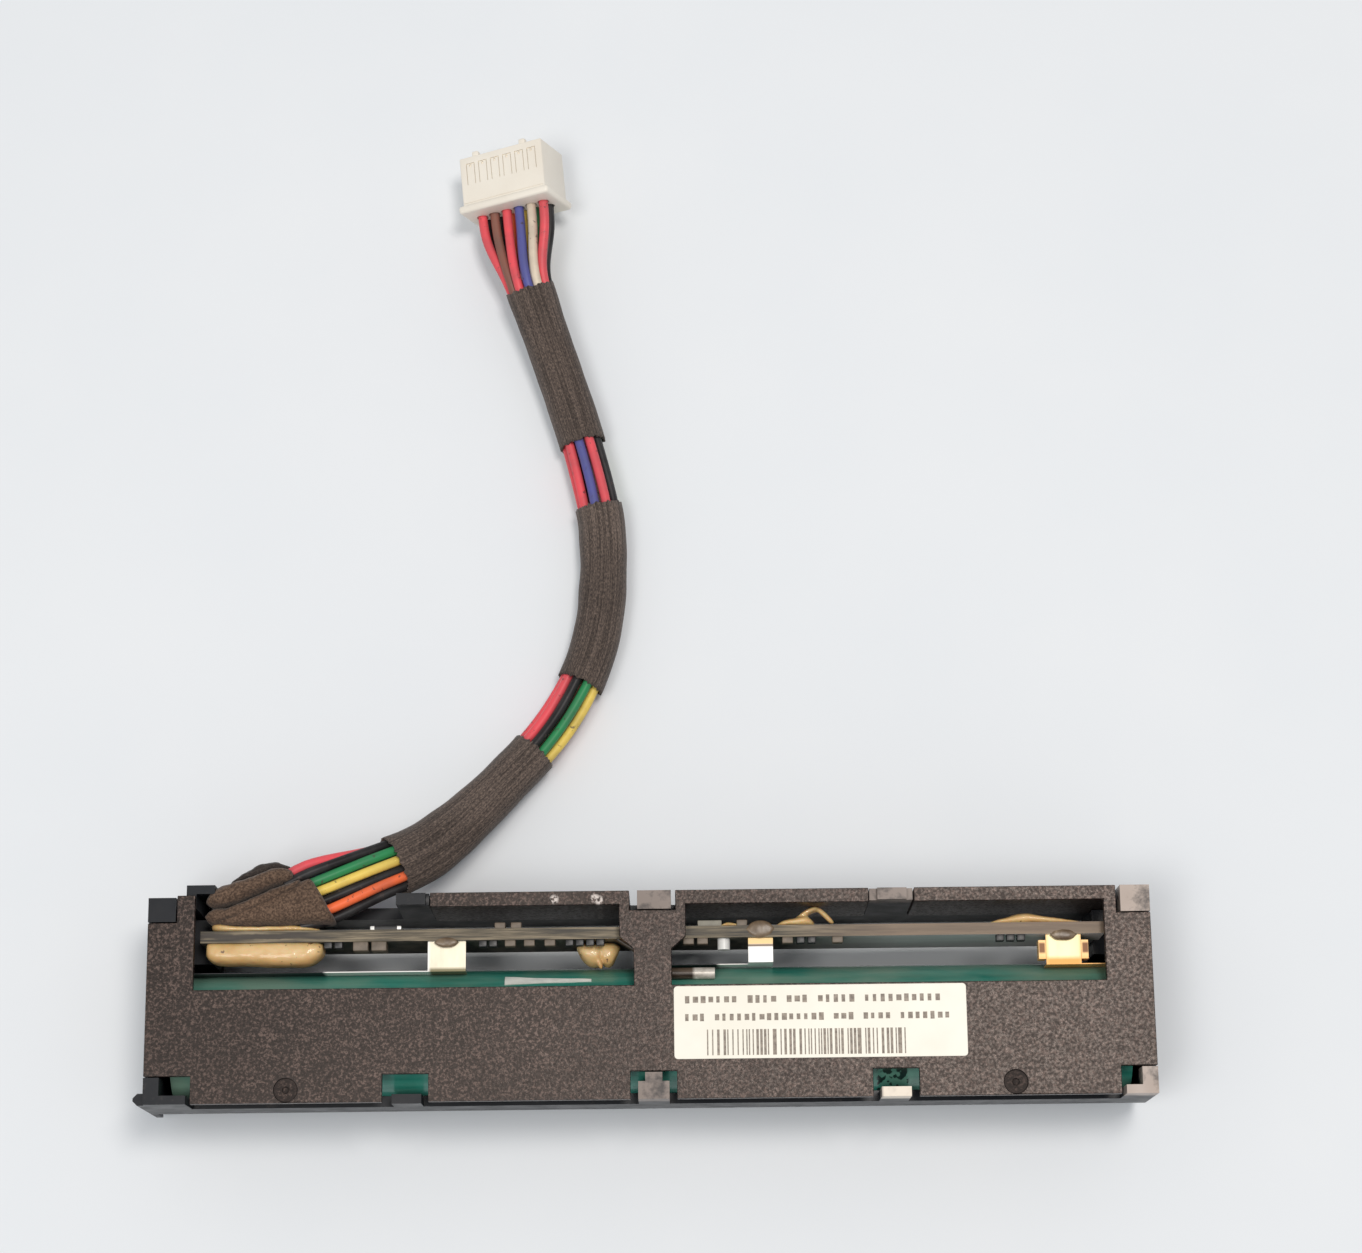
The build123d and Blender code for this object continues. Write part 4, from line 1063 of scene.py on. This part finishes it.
# each bead: lower edge, upper edge, and the height it fills; lumps of one bead are run together
glueSettings = {
    "glue_wire_tails": [
        ([(-60.6, 6.0), (-59.4, 5.35), (-57.6, 5.1), (-54.8, 5.1), (-52.0, 4.9), (-49.0, 4.85), (-46.4, 5.0),
          (-44.4, 6.3)],
         [(-60.6, 8.3), (-59.4, 8.35), (-57.6, 8.35), (-54.8, 8.35), (-52.0, 8.35), (-49.0, 8.35), (-46.4, 8.3),
          (-44.4, 8.1)],
         [(13.4, 17.9), (13.2, 18.0), (13.2, 18.0), (13.2, 18.0), (13.2, 18.0), (13.2, 18.0), (13.2, 17.9),
          (13.4, 17.6)]),
    ],
    "glue_wire_roots": [
        ([(-60.0, 9.4), (-57.0, 9.4), (-54.0, 9.4), (-51.0, 9.4), (-48.0, 9.4), (-44.9, 9.4)],
         [(-60.0, 11.3), (-57.6, 10.6), (-54.0, 10.4), (-51.0, 10.45), (-48.0, 10.4), (-44.9, 10.0)],
         [(13.4, 17.8), (13.2, 17.9), (13.2, 17.9), (13.2, 17.9), (13.2, 17.9), (13.4, 17.8)]),
    ],
    "glue_thermistor_root": [
        ([(-10.1, 6.9), (-9.2, 5.5), (-8.2, 4.75), (-7.1, 4.65), (-6.5, 5.4)],
         [(-10.0, 7.9), (-9.2, 8.0), (-8.2, 8.0), (-7.1, 8.0), (-6.3, 7.9)],
         [(12.6, 15.4), (11.2, 15.9), (10.8, 16.1), (11.2, 16.0), (12.2, 15.6)]),
        ([(-7.2, 6.0), (-6.5, 4.95), (-5.7, 4.6), (-5.0, 5.1), (-4.2, 6.7)],
         [(-7.2, 7.9), (-6.5, 8.0), (-5.7, 8.0), (-5.0, 7.9), (-4.0, 7.6)],
         [(12.6, 15.4), (11.6, 15.8), (11.4, 15.8), (11.8, 15.6), (12.8, 15.0)]),
        ([(-7.6, 5.2), (-7.1, 4.5), (-6.7, 4.1)], [(-6.9, 6.2), (-6.6, 5.2), (-6.45, 4.3)],
         [(13.2, 15.8), (14.0, 15.7), (14.6, 15.4)]),
    ],
    "glue_upper_left": [
        ([(17.2, 9.4), (18.4, 9.4), (19.8, 9.4), (21.4, 9.4), (22.6, 9.4)],
         [(17.2, 9.8), (18.4, 10.35), (19.8, 10.65), (21.4, 11.0), (22.6, 10.2)],
         [(13.8, 17.2), (13.2, 17.8), (13.2, 17.9), (13.4, 17.8), (14.2, 17.2)]),
        ([(19.8, 10.2), (20.8, 10.6), (21.7, 11.1), (22.5, 11.5), (23.2, 11.6)],
         [(20.0, 10.9), (20.9, 11.5), (21.8, 12.05), (22.7, 12.35), (23.4, 12.2)],
         [(14.2, 17.0), (13.8, 17.2), (13.8, 17.2), (14.2, 17.0), (14.8, 16.6)]),
        ([(22.7, 11.8), (23.4, 11.25), (24.2, 10.5), (24.8, 9.85)],
         [(23.1, 12.3), (23.9, 11.75), (24.7, 10.95), (25.4, 10.1)],
         [(15.4, 16.6), (15.4, 16.4), (15.4, 16.2), (15.4, 16.0)]),
        ([(9.6, 9.45), (10.8, 9.45), (12.0, 9.45), (13.2, 9.45)],
         [(9.6, 9.75), (10.6, 10.15), (11.9, 9.95), (13.4, 9.8)],
         [(15.6, 17.6), (15.4, 17.7), (15.4, 17.7), (15.6, 17.6)]),
    ],
    "glue_upper_right": [
        ([(45.9, 9.4), (49.0, 9.4), (52.0, 9.4), (55.5, 9.4), (59.2, 9.4)],
         [(45.9, 9.6), (48.4, 10.35), (51.2, 10.95), (54.8, 10.4), (59.4, 9.85)],
         [(14.6, 17.0), (13.4, 17.7), (13.2, 17.9), (13.4, 17.8), (14.6, 17.2)]),
    ],
}
beadSettings = {"voxel": 0.13, "rounds": 6, "swell": 0.08, "fineness": 0.55}
for node, forms in glueSettings.items():
    boxy, ends = (0.7, 16) if node == "glue_wire_tails" else (0.85, 6)
    lumps = [softForm("lump", *form, 50, 30, boxy, ends) for form in forms]
    piece = fuse(lumps, node + "_bead", beadSettings["voxel"], beadSettings["rounds"])
    roughen(piece, beadSettings["swell"], beadSettings["fineness"], len(node))
    finishPiece(piece, "glue", [finish["glue"]], node)


# lowest and highest edge and half the width of each joint, left to right, and the heights they fill
solderSettings = {"reach": [(6.95, 8.35), (7.8, 10.2), (7.0, 8.5)], "half": [1.7, 2.0, 1.85], "deep": (17.5, 18.3)}


def solderDome(middle, half, low, high, number):
    # a low brown puddle of flux and solder over the end of the tab
    steps = [middle + half * (i / 4 - 1) for i in range(9)]
    sag = [(high + low) / 2 - (high - low) / 2 * max(0.0, 1 - ((x - middle) / half) ** 2) ** 0.5 for x in steps]
    rise = [high + low - value for value in sag]
    deep = [solderSettings["deep"]] * len(steps)
    piece = softForm("joint", list(zip(steps, sag)), list(zip(steps, rise)), deep, 30, 24, 0.8, 4)
    roughen(piece, 0.05, 1.1, number * 4)
    return piece


joints = []
for number, ((low, high), edges) in enumerate(zip(looseBoxes("tab_solder"), solderSettings["reach"])):
    half = solderSettings["half"][number]
    joints.append(solderDome((low.x + high.x) / 2 / mm, half, *edges, number))
finishPiece(joinPieces(joints, "tab_solder_joints"), "solder", [finish["solder"]], "tab_solder")
print("glue and solder on")


# label: warm white sheet with rows of plain dashes and bars

labelSettings = {
    "rows": [(4.7, 39.5, -0.9, (7, 4, 3, 5, 10)), (4.7, 40.7, -3.3, (3, 15, 3, 4, 7))],
    "dashHeight": 1.05,
    "bars": (7.6, 34.5, -8.4, -4.95),
    "barUnit": 0.17,
    "ink": 0.03,
    "dashShares": (0.42, 0.7),
    "heightShares": (0.7, 1),
    "barWidths": (1, 1, 1, 2, 2, 3),
    "barGaps": (1, 1, 2, 2, 3),
    "seed": 17,
}
finishPiece(dressCopy("label", "label_sheet", 0.03, 1), "label", [finish["label"]], "label")

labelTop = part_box("label")[1].z / mm
inkDepth = (labelTop - labelSettings["ink"] / 2, labelTop + labelSettings["ink"] / 2)
dice = random.Random(labelSettings["seed"])
marks = []
for x0, x1, y, groups in labelSettings["rows"]:
    cells = sum(groups) + len(groups) - 1
    pitch = (x1 - x0) / cells
    cell = 0
    for group in groups:
        for _ in range(group):
            width = pitch * dice.uniform(*labelSettings["dashShares"])
            half = labelSettings["dashHeight"] / 2 * dice.uniform(*labelSettings["heightShares"])
            start = x0 + cell * pitch
            marks.append(box((start, start + width), (y - half, y + half), inkDepth))
            cell += 1
        cell += 1
x, stop, barLow, barHigh = labelSettings["bars"]
while x < stop:
    width = labelSettings["barUnit"] * dice.choice(labelSettings["barWidths"])
    marks.append(box((x, min(x + width, stop)), (barLow, barHigh), inkDepth))
    x += width + labelSettings["barUnit"] * dice.choice(labelSettings["barGaps"])
finishPiece(joinPieces(marks, "label_marks"), "label", [finish["print"]])
bpy.data.objects.remove(unitBox)
print("label on")


# floor, lights and surroundings

floorFinish = speckled("paleFloor", [(0.3, (0.79, 0.82, 0.85)), (0.7, (0.81, 0.835, 0.86))],
                       30, 0.6, 300, 0.02, specular=0.2)
bpy.ops.mesh.primitive_plane_add(size=6, location=(0, 0, -0.0001))
floor = bpy.context.object
floor.name = "floor"
floor.data.materials.append(floorFinish)

lampSettings = {
    "keyLamp": {"place": (-0.3, -0.24, 1.0), "size": 0.35, "power": 3.3, "colour": (1, 0.98, 0.95)},
    "panelLamp": {"place": (0.18, 0.12, 1.0), "size": 0.24, "power": 4.2, "colour": (1, 0.95, 0.9)},
}
for name, values in lampSettings.items():
    bpy.ops.object.light_add(type="AREA", location=values["place"])
    lamp = bpy.context.object
    lamp.name = name
    lamp.data.size = values["size"]
    lamp.data.energy = values["power"]
    lamp.data.color = values["colour"]
    lamp.rotation_euler = (-Vector(values["place"])).to_track_quat("-Z", "Y").to_euler()

world = bpy.data.worlds.new("softRoom")
bpy.context.scene.world = world
world.use_nodes = True
world.node_tree.nodes["Background"].inputs["Color"].default_value = (0.93, 0.96, 1.0, 1)
world.node_tree.nodes["Background"].inputs["Strength"].default_value = 0.42

bpy.context.scene.view_settings.view_transform = "Standard"
print("scene ready")
